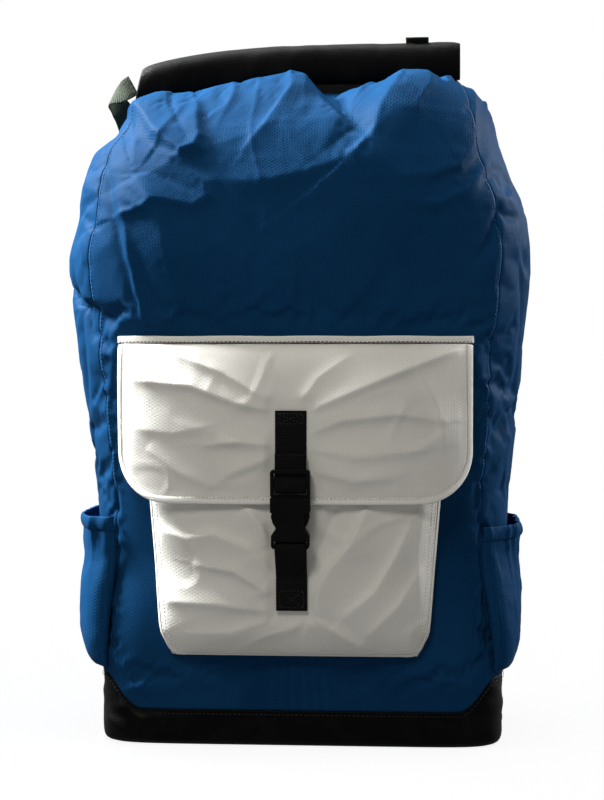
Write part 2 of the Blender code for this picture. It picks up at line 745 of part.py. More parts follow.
def strap_end_place(sign):
    """Local axes of the ladder lock: z up along the strap, y away from the pack."""
    up = -STRAP_END_DIRECTION
    across = Vector((1, 0, 0))
    across = (across - up * across.dot(up)).normalized()
    axes = Matrix((across, up.cross(across), up)).transposed().to_4x4()
    place = Matrix.Translation(Vector(STRAP_LINE[-1]) - up * LOCK_DROP) @ axes
    if sign < 0:
        flip = Matrix.Diagonal((-1, 1, 1, 1))
        place = flip @ place @ flip
    return place


def make_shoulder_straps():
    for side, sign in (("right", 1), ("left", -1)):
        line = mirror_x(STRAP_LINE, sign)
        across = even(Vector((1, 0, 0)), line)
        ribbon(f"shoulder_strap_{side}", line, across, STRAP_WIDTHS, STRAP_THICKS, "black_mesh")
        make_strap_adjuster(side, sign)


def make_strap_adjuster(side, sign):
    """Ladder lock on the strap's end, with its loop, the webbing to the wing, and the wing."""
    place = strap_end_place(sign)
    k = SMALL
    lock = prism(
        f"ladder_lock_{side}", rounded(mirrored([(0.0155, -0.0120, 0.0020), (0.0155, 0.0120, 0.0020)]), 3),
        -0.0030, 0.0030, "black_plastic", place, k,
    )
    for low, high in ((-0.0090, -0.0035), (0.0000, 0.0075)):
        cut_box(lock, SLOT_HALF, (-0.006, 0.006), (low, high), k)
    width = WEB_WIDTH * k
    thick = WEB_THICK * k
    loop = [(-0.0012, 0.0188), (-0.0036, 0.0150), (-0.0043, 0.0110), (-0.0040, 0.0064), (-0.0018, 0.0043)]
    loop += [(0.0018, 0.0043), (0.0040, 0.0064), (0.0043, 0.0110), (0.0036, 0.0150), (0.0012, 0.0188)]
    points = [place @ Vector((0, y, z)) for y, z in loop]
    sides = even(side_of(place), points)
    ribbon(f"ladder_loop_{side}", points, sides, even(width, points), thick, "black_webbing", steps=2)
    through = [(0.0110, -0.0450), (0.0085, -0.0300), (0.0060, -0.0150), (0.0045, -0.0060), (0.0036, -0.0020)]
    through += [(0.0034, 0.0002), (0.0017, 0.0015), (-0.0017, 0.0015), (-0.0034, 0.0002), (-0.0036, -0.0020)]
    through += [(-0.0037, -0.0050), (-0.0047, -0.0100)]
    points = [place @ Vector((0, y, z)) for y, z in through]
    sides = even(side_of(place), points)
    anchor = [(0.1150, 0.1215, 0.160), (0.1240, 0.1140, 0.130), (0.1325, 0.1050, 0.104)]
    points += mirror_x(anchor, sign)
    slant = Vector((sign * 0.92, -0.1, 0.38))
    sides += [Vector((sign, 0, 0.15)), slant, slant]
    ribbon(f"adjuster_webbing_{side}", points, sides, even(width, points), thick, "black_webbing")
    make_wing(side, sign)


def make_wing(side, sign):
    """The tab from the back seam that the adjuster webbing is sewn to."""
    a = BACK_SEAM_DEG + 1.5 if sign > 0 else 180 - BACK_SEAM_DEG - 1.5
    low, high = shell(a, 0.068, 0.0012), shell(a, 0.114, 0.0012)
    tip = Vector((sign * 0.1337, 0.1037, 0.1012))
    out = (high - low).cross(tip - low).normalized()
    out = out if out.y > 0 else -out
    along_tip = Vector((sign * 0.0098, -0.0011, 0.0040))
    along_tip -= out * along_tip.dot(out)
    corners = [low, high, tip + along_tip, tip - along_tip]
    points = corners + [c + out * 0.0020 for c in corners]
    faces = [[0, 1, 2, 3], [7, 6, 5, 4]] + [[i, 4 + i, 4 + (i + 1) % 4, (i + 1) % 4] for i in range(4)]
    turn_outwards(new_object(f"strap_wing_{side}", points, faces, "black_coated"))


def yoke_top(angle_deg):
    """The yoke is cut higher on the left, where the filled pack slumps."""
    return 0.486 + 0.0020 * smoothstep(90, 110, angle_deg)


def make_yoke():
    """Patch whose top edge the shoulder straps are sewn to."""
    patch("yoke_patch", (66, 114), lambda a: 0.446, yoke_top, 2 * GAP, 2 * GAP + 0.0022, "black_coated", 8, 2)


def make_haul_loop():
    line = [(-0.028, 0.0012), (-0.027, 0.010), (-0.016, 0.021), (0.0, 0.0255)]
    line += [(-x, out) for x, out in line[-2::-1]]
    points = []
    for x, out in line:
        base = Vector((x, back_y(x, HAUL_Z), HAUL_Z))
        points.append(base + Vector((0, out, 0.20 * out)))
    sides = even(Vector((0, -0.45, 1)), points)
    ribbon("haul_loop", points, sides, even(WEB_WIDTH * SMALL, points), 0.0024, "black_webbing", steps=3)


def make_sternum_strap():
    """Chest strap between the shoulder straps, with a small buckle and two sliders."""
    pad = strap_outer_y(STERNUM_Z) + 2 * GAP + WEB_THICK / 2
    y = pad + 0.0040
    turn = Matrix(((0, 0, -1), (0, -1, 0), (-1, 0, 0))).to_4x4()
    place = Matrix.Translation((0.006, y, STERNUM_Z)) @ turn
    k = SMALL
    make_buckle("sternum_buckle", place, k)
    up = even(Vector((0, 0, 1)), LADDER_PATH)
    width, thick = WEB_WIDTH * k, WEB_THICK * k
    left_end = [Vector((x, pad, STERNUM_Z)) for x in (-0.104, -0.080, -0.045)]
    points = left_end + in_buckle(place, LADDER_PATH, k)
    ribbon("sternum_webbing_left", points, even(up[0], points), even(width, points), thick, "black_webbing")
    right_end = [Vector((x, pad, STERNUM_Z)) for x in (0.104, 0.080)]
    points = right_end + in_buckle(place, BAR_PATH, k)
    ribbon("sternum_webbing_right", points, even(up[0], points), even(width, points), thick, "black_webbing")


def strap_outer_y(z):
    """y of a shoulder strap's outer face near height z."""
    return max(y for x, y, height in curve_through(STRAP_LINE[4:], 12) if abs(height - z) < 0.013) + PAD_THICK / 2


# --- Side closure straps ----------------------------------------------------------------
CLOSURE_DEG = 46.0
CLOSURE_JOINT_Z = 0.470


def closure_place(sign):
    """Local axes of a closure buckle, lying on the pack's rear upper corner."""
    a = CLOSURE_DEG if sign > 0 else 180 - CLOSURE_DEG
    surface = shell(a, CLOSURE_JOINT_Z)
    up = (shell(a, CLOSURE_JOINT_Z + 0.02) - shell(a, CLOSURE_JOINT_Z - 0.03)).normalized()
    out = shell(a, CLOSURE_JOINT_Z, 0.01) - surface
    out = (out - up * out.dot(up)).normalized()
    across = (-out).cross(up)
    axes = Matrix((across, -out, up)).transposed().to_4x4()
    return Matrix.Translation(surface + out * 0.0085) @ axes


def roll_strap_left(place):
    """From the roll's left end round behind it and down: points and width directions."""
    middle = roll_centre(ROLL_LEFT_X)
    offsets = [(-0.0010, 0.0020, 0.003), (-0.0110, 0.0035, -0.003), (-0.0215, 0.0110, -0.008)]
    offsets.append((-0.0130, 0.0270, -0.020))
    points = [middle + Vector(p) for p in offsets]
    points.append(middle.lerp(place @ Vector((0, 0.004, 0.026)), 0.62) + Vector((-0.004, 0.010, 0)))
    across = -side_of(place)
    return points, [Vector((0, 0.15, 1)), Vector((0, 0.3, 1)), Vector((0.2, 0.8, 0.6)), across, across]


def roll_strap_right(place):
    """Sewn over the top of the roll near its right end, then down behind it."""
    middle = roll_centre(ROLL_STRAP_X)
    over = [(-0.0060, 0.0214), (0.0040, 0.0218), (0.0132, 0.0176), (0.0163, 0.0040)]
    points = [middle + Vector((0, y, z)) for y, z in over]
    points += [Vector((0.113, 0.047, 0.560)), Vector((0.136, 0.076, 0.528))]
    across = side_of(place)
    x_side = Vector((1, 0, 0))
    return points, even(x_side, over) + [Vector((1, -0.2, 0.3)), across]


def make_closure_straps():
    """Webbing from each end of the roll, through a buckle, to an anchor on the side."""
    k = SMALL
    width, thick = WEB_WIDTH * k, WEB_THICK * k
    for side, sign, roll_strap in (("right", 1, roll_strap_right), ("left", -1, roll_strap_left)):
        place = closure_place(sign)
        make_buckle(f"closure_buckle_{side}", place, k)
        across = side_of(place) * sign
        points, sides = roll_strap(place)
        near = in_buckle(place, LADDER_PATH, k)
        points += near
        sides += even(across, near)
        strap = ribbon(f"roll_end_webbing_{side}", points, sides, even(width, points), thick, "olive_webbing")
        triangulate(strap)
        a = CLOSURE_DEG if sign > 0 else 180 - CLOSURE_DEG
        down = [shell(a, z, 0.0012) for z in (0.360, 0.385, 0.405)]
        points = down + in_buckle(place, BAR_PATH, k)
        ribbon(f"closure_strap_{side}", points, even(across, points), even(width, points), thick, "black_webbing")


# --- Assembly ---------------------------------------------------------------------------
def gather():
    """Parents every piece to one empty, which moves the pack's footprint centre to the origin."""
    root = bpy.data.objects.new("backpack", None)
    bpy.context.scene.collection.objects.link(root)
    bpy.context.view_layer.update()
    for obj in list(bpy.context.scene.objects):
        if obj is not root:
            obj.parent = root
    root.location = ORIGIN_SHIFT
    bpy.context.view_layer.update()


def shade():
    for obj in bpy.data.objects:
        if obj.type == "MESH":
            obj.data.shade_smooth()
            obj.data.set_sharp_from_angle(angle=math.radians(35))


def main():
    clear_scene()
    make_tray()
    make_panels()
    make_collar()
    make_back_inserts()
    make_back_cushion()
    make_roll()
    make_pocket()
    make_flap()
    make_flap_tape()
    make_front_straps()
    make_side_pockets()
    make_shoulder_straps()
    make_yoke()
    make_haul_loop()
    make_sternum_strap()
    make_closure_straps()
    gather()
    shade()


main()
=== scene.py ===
"""Looks of the roll-top ski backpack: folded shell, flap pocket, webbing, harness and buckles.

Metres, +Z up, front towards -Y. Shapes repeat the CAD's own shell and paths, in the CAD's local
axes, and SHIFT moves them to the shared frame.
"""

import math

import bpy
import numpy as np
from mathutils import Matrix, Vector


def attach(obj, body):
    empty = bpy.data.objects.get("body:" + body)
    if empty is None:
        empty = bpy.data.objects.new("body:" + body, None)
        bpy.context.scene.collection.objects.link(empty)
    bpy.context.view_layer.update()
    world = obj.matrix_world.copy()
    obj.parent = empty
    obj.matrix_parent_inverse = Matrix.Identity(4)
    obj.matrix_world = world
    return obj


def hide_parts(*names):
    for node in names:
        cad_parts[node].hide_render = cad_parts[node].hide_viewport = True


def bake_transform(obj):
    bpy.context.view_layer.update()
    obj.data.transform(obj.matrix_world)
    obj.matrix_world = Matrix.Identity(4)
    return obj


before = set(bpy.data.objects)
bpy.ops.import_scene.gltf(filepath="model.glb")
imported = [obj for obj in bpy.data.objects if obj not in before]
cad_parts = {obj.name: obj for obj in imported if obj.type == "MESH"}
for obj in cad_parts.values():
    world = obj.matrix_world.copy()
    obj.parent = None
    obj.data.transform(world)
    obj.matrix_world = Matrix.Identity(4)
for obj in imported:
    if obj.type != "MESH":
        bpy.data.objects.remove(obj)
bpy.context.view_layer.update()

# --- Dimensions shared with the CAD -------------------------------------------------------
SHIFT = np.array((0.00175, -0.0104, 0.0))
BODY = np.array(
    (
        (0.000, 0.1665, -0.095, 0.090, 0.0030),
        (0.060, 0.168, -0.101, 0.093, 0.0030),
        (0.130, 0.172, -0.108, 0.095, 0.0015),
        (0.240, 0.179, -0.114, 0.097, 0.0005),
        (0.330, 0.189, -0.118, 0.098, -0.0015),
        (0.400, 0.196, -0.119, 0.098, -0.0020),
        (0.440, 0.190, -0.116, 0.097, 0.0000),
        (0.480, 0.181, -0.106, 0.093, -0.0070),
        (0.510, 0.172, -0.088, 0.084, -0.0085),
        (0.532, 0.156, -0.054, 0.062, -0.0005),
        (0.548, 0.143, 0.000, 0.020, 0.0015),
    )
)
RIM_Z = 0.548
FLOOR_RADIUS = 0.006
FRONT_SEAM_DEG = 36.0
BACK_SEAM_DEG = 40.0
TRAY_LOW, TRAY_HIGH, TRAY_WALL = 0.030, 0.058, 0.003
LEAN, LEFT_DROOP, DROOP_FROM = 0.015, 0.78, -0.010
ROLL_LEFT_X, ROLL_RIGHT_X = -0.150, 0.137
ROLL_HEIGHT, ROLL_DEPTH, ROLL_Y = 0.041, 0.028, 0.010
ROLL_STRAP_X = 0.099
ROLL_SLANT = 0.009
POCKET_BOTTOM, POCKET_TOP = 0.077, 0.290
POCKET_HALF_TOP, POCKET_HALF_LOW, POCKET_HALF_BOTTOM = 0.119, 0.110, 0.100
POCKET_CHAMFER, POCKET_BULGE, POCKET_WALL = 0.020, 0.022, 0.0016
FLAP_TOP, FLAP_BOTTOM, FLAP_HALF, FLAP_RADIUS, FLAP_THICK = 0.330, 0.207, 0.140, 0.036, 0.0016
SIDE_BOTTOM = 0.062
SIDE_TOPS = {"left": 0.187, "right": 0.180}
SIDE_BULGES = {"left": 0.0155, "right": 0.0115}
HEM_DRAW = {"left": 0.30, "right": 0.50}
SIDE_WALL, HEM_HEIGHT = 0.0016, 0.012
GAP = 0.0003
WEB_WIDTH, WEB_THICK, SMALL = 0.025, 0.0015, 0.8
JOINT_Z, BUCKLE_TILT_DEG, FLAP_STRAP_TOP, POCKET_STRAP_END = 0.209, 3.5, 0.277, 0.117
HAUL_Z, STERNUM_Z = 0.506, 0.372
CLOSURE_DEG, CLOSURE_JOINT_Z = 46.0, 0.470
PAD_THICK = 0.011
# Thickness of the visible cloth, on the shell and on the front pocket
CLOTH, POCKET_CLOTH = 0.0012, 0.0014


# --- Numbers ----------------------------------------------------------------------------
def smooth(low, high, value):
    """An eased step: 0 at low, 1 at high."""
    t = np.clip((value - low) / (high - low), 0.0, 1.0)
    return t * t * (3 - 2 * t)


def hermite(before, start, stop, after, t):
    """A smooth curve from start to stop that heeds its neighbours."""
    bend = 2 * before - 5 * start + 4 * stop - after
    twist = -before + 3 * start - 3 * stop + after
    return start + 0.5 * ((stop - before) * t + bend * t * t + twist * t**3)


def curve_through(rows, steps):
    """Points on a smooth curve through rows of numbers, evenly spread between them."""
    rows = np.array(rows, float)
    ends = np.vstack([2 * rows[0] - rows[1], rows, 2 * rows[-1] - rows[-2]])
    made = []
    for i in range(1, len(ends) - 2):
        made += [hermite(*ends[i - 1 : i + 3], step / steps) for step in range(steps)]
    return np.array(made + [rows[-1]])


def unit(vectors):
    length = np.linalg.norm(vectors, axis=-1, keepdims=True)
    return vectors / np.maximum(length, 1e-12)


def lengths_along(line):
    """Length of a line up to each of its points."""
    return np.concatenate([[0], np.cumsum(np.linalg.norm(np.diff(line, axis=0), axis=1))])


def noise(u, v, size, seed):
    """Smooth random values from -1 to 1 over (u, v), with bumps about size across."""
    lattice = np.random.default_rng(seed).uniform(-1, 1, (64, 64))
    x, y = u / size + 32.0, v / size + 32.0
    i, j = np.floor(x).astype(int), np.floor(y).astype(int)
    fx, fy = x - i, y - j
    fx, fy = fx * fx * (3 - 2 * fx), fy * fy * (3 - 2 * fy)

    def at(a, b):
        return lattice[(i + a) % 64, (j + b) % 64]

    low = at(0, 0) * (1 - fx) + at(1, 0) * fx
    high = at(0, 1) * (1 - fx) + at(1, 1) * fx
    return low * (1 - fy) + high * fy


def crease(u, v, path, height, left, right):
    """A fold along a path of (u, v), falling away over left and right on its two sides."""
    path = np.array(path, float)
    lengths = np.linalg.norm(np.diff(path, axis=0), axis=1)
    starts = np.concatenate([[0.0], np.cumsum(lengths)]) / lengths.sum()
    best = np.full(u.shape, 1e9)
    signed, along = np.zeros(u.shape), np.zeros(u.shape)
    for k, (a, b) in enumerate(zip(path[:-1], path[1:])):
        step = b - a
        t = np.clip(((u - a[0]) * step[0] + (v - a[1]) * step[1]) / (step @ step), 0, 1)
        du, dv = u - a[0] - step[0] * t, v - a[1] - step[1] * t
        distance = np.hypot(du, dv)
        closer = distance < best
        side = step[0] * dv - step[1] * du
        signed = np.where(closer, np.copysign(distance, side), signed)
        along = np.where(closer, starts[k] + (starts[k + 1] - starts[k]) * t, along)
        best = np.where(closer, distance, best)
    width = np.where(signed > 0, left, right)
    taper = np.clip(4 * along * (1 - along), 0, 1) ** 0.6 * 0.75 + 0.25
    fall = best / width
    return height * taper * np.exp(-(fall**1.3))


def with_folds(total, u, v, folds):
    """total with every fold of a table added to it."""
    for path, height, left, right in folds:
        total = total + crease(u, v, path, height, left, right)
    return total


# --- The filled shell -------------------------------------------------------------------
def lean(x):
    """How far the top slopes up or down at x."""
    return LEAN * x - LEFT_DROOP * np.maximum(0.0, DROOP_FROM - x) ** 2


def section(z):
    """Half width, middle y, half depth and middle x of the shell at height z."""
    z = np.clip(z, BODY[0, 0], BODY[-1, 0])
    low = np.clip(np.searchsorted(BODY[:, 0], z, side="right") - 1, 0, len(BODY) - 2)
    rows = [BODY[np.clip(low + k, 0, len(BODY) - 1)] for k in (-1, 0, 1, 2)]
    t = ((z - rows[1][..., 0]) / (rows[2][..., 0] - rows[1][..., 0]))[..., None]
    row = hermite(*[r[..., 1:] for r in rows], t)
    room = np.maximum(FLOOR_RADIUS**2 - np.maximum(FLOOR_RADIUS - z, 0) ** 2, 0)
    inset = np.where(z < FLOOR_RADIUS, FLOOR_RADIUS - np.sqrt(room), 0.0)
    half, front, back, sway = (row[..., k] for k in range(4))
    return half - inset, (front + back) / 2, (back - front) / 2 - inset, sway


def squareness(z, front):
    """The power of the section's curve: high where its corners are square."""
    return np.where(front, 8.5 + (2.8 - 8.5) * smooth(0.0, 0.16, z), 4.0)


def shell(deg, z, out=0.0):
    """Points out from the shell's surface, at an angle from +X round towards the back."""
    deg, z = np.broadcast_arrays(np.asarray(deg, float), np.asarray(z, float))
    half, middle, depth, sway = section(z)
    c, s = np.cos(np.radians(deg)), np.sin(np.radians(deg))
    power = 2 / squareness(z, s < 0)
    x = sway + half * np.copysign(np.abs(c) ** power, c)
    y = middle + depth * np.copysign(np.abs(s) ** power, s)
    point = np.stack([x, y, z], -1)
    if np.any(out):
        point = point + shell_normal(point) * np.asarray(out)[..., None]
    raised = lean(point[..., 0]) * smooth(0.40, RIM_Z, z)
    return point + np.stack([0 * z, 0 * z, raised], -1)


def shell_level(x, y, z):
    """Below 1 inside the shell, 1 on it and more outside."""
    half, middle, depth, sway = section(z)
    power = squareness(z, y < middle)
    return (np.abs(x - sway) / half) ** power + (np.abs(y - middle) / depth) ** power


def shell_normal(p):
    h = 1e-5
    x, y, z = p[..., 0], p[..., 1], p[..., 2]
    dx = shell_level(x + h, y, z) - shell_level(x - h, y, z)
    dy = shell_level(x, y + h, z) - shell_level(x, y - h, z)
    dz = shell_level(x, y, z + h) - shell_level(x, y, z - h)
    inside = (z > h) & (z < RIM_Z - h)
    return unit(np.stack([dx, dy, np.where(inside, dz, 0.0)], -1))


def front_y(x, z):
    """y of the plain shell's front."""
    x, z = np.broadcast_arrays(np.asarray(x, float), np.asarray(z, float))
    half, middle, depth, sway = section(z)
    power = squareness(z, np.full(z.shape, True))
    return middle - depth * np.maximum(1 - (np.abs(x - sway) / half) ** power, 0) ** (1 / power)


def back_y(x, z):
    """y of the plain shell's back."""
    x, z = np.broadcast_arrays(np.asarray(x, float), np.asarray(z, float))
    half, middle, depth, sway = section(z)
    return middle + depth * (1 - (np.abs(x - sway) / half) ** 4.0) ** 0.25


def tray_top(deg):
    """Height of the base's upper edge, which rises at the sides."""
    side = np.abs(np.cos(np.radians(deg)))
    return TRAY_LOW + (TRAY_HIGH - TRAY_LOW) * smooth(0.35, 0.90, side)


def arc_angles(first, last, count):
    """Angles from first to last, evenly spaced along the shell at mid height."""
    fine = np.linspace(first, last, 2000)
    line = shell(fine, 0.33)
    length = lengths_along(line)
    return np.interp(np.linspace(0, length[-1], count + 1), length, fine)


def profile():
    """Heights up the middle of the front, and the length of cloth up to each."""
    z = np.linspace(0.0, RIM_Z, 1200)
    return z, lengths_along(shell(270.0, z))


PROFILE_Z, PROFILE_V = profile()
RIM_V = PROFILE_V[-1]


def around_table():
    """Cloth length round from the middle of the front, for a table of heights and turns."""
    turn = np.linspace(-180, 180, 721)
    z = np.linspace(0.0, RIM_Z, 160)
    line = shell(270.0 + turn[None, :], z[:, None])
    steps = np.linalg.norm(np.diff(line, axis=1), axis=2)
    length = np.concatenate([np.zeros((len(z), 1)), np.cumsum(steps, axis=1)], axis=1)
    return turn, z, length - length[:, 360:361]


TURN, TURN_Z, TURN_U = around_table()


def turn_of(deg):
    """Degrees round from the middle of the front, between -180 and 180."""
    return (deg - 270.0 + 180.0) % 360.0 - 180.0


def cloth_uv(deg, z):
    """Cloth coordinates of a shell point: round from the front's middle, and up from the floor."""
    x = (turn_of(deg) + 180.0) * 2
    y = np.clip(z / RIM_Z, 0, 1) * (len(TURN_Z) - 1)
    i, j = np.clip(y.astype(int), 0, len(TURN_Z) - 2), np.clip(x.astype(int), 0, len(TURN) - 2)
    fy, fx = y - i, x - j
    low = TURN_U[i, j] * (1 - fx) + TURN_U[i, j + 1] * fx
    high = TURN_U[i + 1, j] * (1 - fx) + TURN_U[i + 1, j + 1] * fx
    return low * (1 - fy) + high * fy, np.interp(z, PROFILE_Z, PROFILE_V)


# --- Materials --------------------------------------------------------------------------
def new_material(name, colour, roughness, **sockets):
    made = bpy.data.materials.new(name)
    made.use_nodes = True
    shader = made.node_tree.nodes["Principled BSDF"]
    shader.inputs["Base Color"].default_value = (*colour, 1.0)
    shader.inputs["Roughness"].default_value = roughness
    for label, value in sockets.items():
        shader.inputs[label.replace("_", " ")].default_value = value
    return made, made.node_tree, shader


def add(tree, kind, links=(), **settings):
    """A node with its settings, and its inputs from values or other sockets."""
    made = tree.nodes.new(kind)
    for label, value in settings.items():
        setattr(made, label, value)
    for label, value in links:
        if isinstance(value, bpy.types.NodeSocket):
            tree.links.new(value, made.inputs[label])
        else:
            made.inputs[label].default_value = value
    return made


def calc(tree, operation, *values):
    """The output of a maths node."""
    links = list(enumerate(values))
    return add(tree, "ShaderNodeMath", links, operation=operation).outputs[0]


def weighted(tree, *pairs):
    """The sum of some values, each times its share."""
    total = None
    for value, share in pairs:
        part = calc(tree, "MULTIPLY", value, share)
        total = calc(tree, "ADD", total, part) if total else part
    return total


def cloth_axes(tree):
    """The cloth coordinates stored on a piece, whole and as two separate values."""
    found = add(tree, "ShaderNodeAttribute", attribute_name="cloth")
    split = add(tree, "ShaderNodeSeparateXYZ", [("Vector", found.outputs["Vector"])])
    return found.outputs["Vector"], split.outputs["X"], split.outputs["Y"]


def threads(tree, across, along, turn_deg, pitch, sharp):
    """Raised threads at an angle: 0 between them to 1 on them."""
    c, s = math.cos(math.radians(turn_deg)) / pitch, math.sin(math.radians(turn_deg)) / pitch
    line = weighted(tree, (across, c), (along, s))
    wave = calc(tree, "MULTIPLY", calc(tree, "PINGPONG", line, 0.5), 2.0)
    return calc(tree, "POWER", wave, sharp)


def speckle(tree, vector, scale, detail=2.0):
    links = [("Vector", vector), ("Scale", scale), ("Detail", detail)]
    return add(tree, "ShaderNodeTexNoise", links).outputs["Fac"]


def tint(tree, factor, dark, light):
    """A colour between dark and light."""
    links = [(0, factor), (6, (*dark, 1.0)), (7, (*light, 1.0))]
    return add(tree, "ShaderNodeMix", links, data_type="RGBA").outputs[2]


def spread(tree, value, low, high, to_low=0.0, to_high=1.0):
    """value from low to high, mapped to the range from to_low to to_high."""
    links = [("Value", value), ("From Min", low), ("From Max", high)]
    links += [("To Min", to_low), ("To Max", to_high)]
    return add(tree, "ShaderNodeMapRange", links).outputs["Result"]


def raise_bump(tree, shader, height, distance, strength=1.0):
    links = [("Height", height), ("Distance", distance), ("Strength", strength)]
    made = add(tree, "ShaderNodeBump", links)
    tree.links.new(made.outputs["Normal"], shader.inputs["Normal"])


def ripstop(name, dark, light, roughness, pitch, relief, gloss, gloss_tint):
    """Thin coated cloth with a honeycomb of heavier threads and a satin face."""
    made, tree, shader = new_material(
        name, light, roughness, Specular_IOR_Level=gloss, Specular_Tint=gloss_tint
    )
    vector, across, along = cloth_axes(tree)
    first = threads(tree, across, along, 60, pitch, 3.0)
    second = threads(tree, across, along, 120, pitch, 3.0)
    third = threads(tree, across, along, 0, pitch, 3.0)
    grid = calc(tree, "MAXIMUM", calc(tree, "MAXIMUM", first, second), third)
    fine = calc(tree, "MULTIPLY", threads(tree, across, along, 0, 0.0006, 1.0), 0.20)
    weave = calc(tree, "ADD", grid, fine)
    patchy = spread(tree, speckle(tree, vector, 9.0, 3.0), 0.3, 0.7)
    grain = speckle(tree, vector, 420.0, 2.0)
    mixed = weighted(tree, (patchy, 0.45), (grain, 0.25), (grid, 0.34))
    tree.links.new(tint(tree, mixed, dark, light), shader.inputs["Base Color"])
    both = calc(tree, "ADD", grid, patchy)
    rough = spread(tree, both, 0.0, 2.0, roughness + 0.07, roughness - 0.05)
    tree.links.new(rough, shader.inputs["Roughness"])
    height = calc(tree, "ADD", weave, calc(tree, "MULTIPLY", grain, 0.5))
    raise_bump(tree, shader, height, relief)
    return made


def webbing_cloth(name, dark, light, roughness, pitch=0.0016, relief=0.00035):
    """Woven webbing: ribs across it, with fine ends running along."""
    made, tree, shader = new_material(name, light, roughness, Specular_IOR_Level=0.07)
    vector, across, along = cloth_axes(tree)
    ribs = threads(tree, across, along, 90, pitch, 1.2)
    slant = threads(tree, across, along, 24, pitch * 0.75, 1.4)
    height = calc(tree, "ADD", ribs, calc(tree, "MULTIPLY", slant, 0.6))
    grain = speckle(tree, vector, 500.0)
    mixed = weighted(tree, (height, 0.42), (grain, 0.4))
    tree.links.new(tint(tree, mixed, dark, light), shader.inputs["Base Color"])
    raise_bump(tree, shader, calc(tree, "ADD", height, grain), relief)
    return made


def coated_cloth(name, dark, light, roughness):
    """Tough coated cloth: a faint square weave under a smooth skin, scuffed here and there."""
    made, tree, shader = new_material(name, light, roughness, Specular_IOR_Level=0.045)
    vector, across, along = cloth_axes(tree)
    warp = threads(tree, across, along, 0, 0.0011, 1.0)
    weft = threads(tree, across, along, 90, 0.0011, 1.0)
    weave = calc(tree, "MULTIPLY", calc(tree, "ADD", warp, weft), 0.5)
    scuffs = spread(tree, speckle(tree, vector, 38.0, 6.0), 0.50, 0.72)
    mixed = weighted(tree, (weave, 0.3), (scuffs, 0.6))
    tree.links.new(tint(tree, mixed, dark, light), shader.inputs["Base Color"])
    rough = spread(tree, scuffs, 0.0, 1.0, roughness, roughness + 0.14)
    tree.links.new(rough, shader.inputs["Roughness"])
    height = calc(tree, "ADD", weave, calc(tree, "MULTIPLY", scuffs, 0.4))
    raise_bump(tree, shader, height, 0.00018)
    return made


MESH_CELLS_PER_METRE = (330.0, 330.0, 330.0)


def spacer_mesh(name, dark, light):
    """Knitted spacer mesh, with a staggered field of small open cells."""
    made, tree, shader = new_material(name, light, 0.85, Specular_IOR_Level=0.12)
    links = [(0, cloth_axes(tree)[0]), (1, MESH_CELLS_PER_METRE)]
    scaled = add(tree, "ShaderNodeVectorMath", links, operation="MULTIPLY")
    links = [("Vector", scaled.outputs[0]), ("Scale", 1.0), ("Randomness", 0.25)]
    cells = add(tree, "ShaderNodeTexVoronoi", links).outputs["Distance"]
    wall = spread(tree, cells, 0.22, 0.48)
    tree.links.new(tint(tree, wall, dark, light), shader.inputs["Base Color"])
    raise_bump(tree, shader, wall, 0.0007)
    return made


def moulded_plastic(name, dark, light, roughness):
    """Injection-moulded plastic: a fine spark-eroded grain, and edges rubbed paler."""
    made, tree, shader = new_material(name, dark, roughness, Specular_IOR_Level=0.07)
    place = add(tree, "ShaderNodeTexCoord").outputs["Object"]
    grain = speckle(tree, place, 2600.0, 2.0)
    cloud = speckle(tree, place, 60.0, 3.0)
    edge = spread(tree, add(tree, "ShaderNodeNewGeometry").outputs["Pointiness"], 0.51, 0.60)
    worn = weighted(tree, (edge, 0.6), (cloud, 0.35))
    tree.links.new(tint(tree, worn, dark, light), shader.inputs["Base Color"])
    rough = spread(tree, cloud, 0.3, 0.7, roughness - 0.05, roughness + 0.08)
    tree.links.new(rough, shader.inputs["Roughness"])
    raise_bump(tree, shader, grain, 0.00006)
    return made


def thread_material(name, dark, light):
    made, tree, shader = new_material(name, light, 0.6, Specular_IOR_Level=0.2)
    place = add(tree, "ShaderNodeTexCoord").outputs["Object"]
    twist = speckle(tree, place, 1800.0, 1.0)
    tree.links.new(tint(tree, twist, dark, light), shader.inputs["Base Color"])
    raise_bump(tree, shader, twist, 0.0001)
    return made


def foam(name, dark, light):
    made, tree, shader = new_material(name, light, 0.95)
    place = add(tree, "ShaderNodeTexCoord").outputs["Object"]
    cells = speckle(tree, place, 900.0, 3.0)
    tree.links.new(tint(tree, cells, dark, light), shader.inputs["Base Color"])
    raise_bump(tree, shader, cells, 0.0004)
    return made


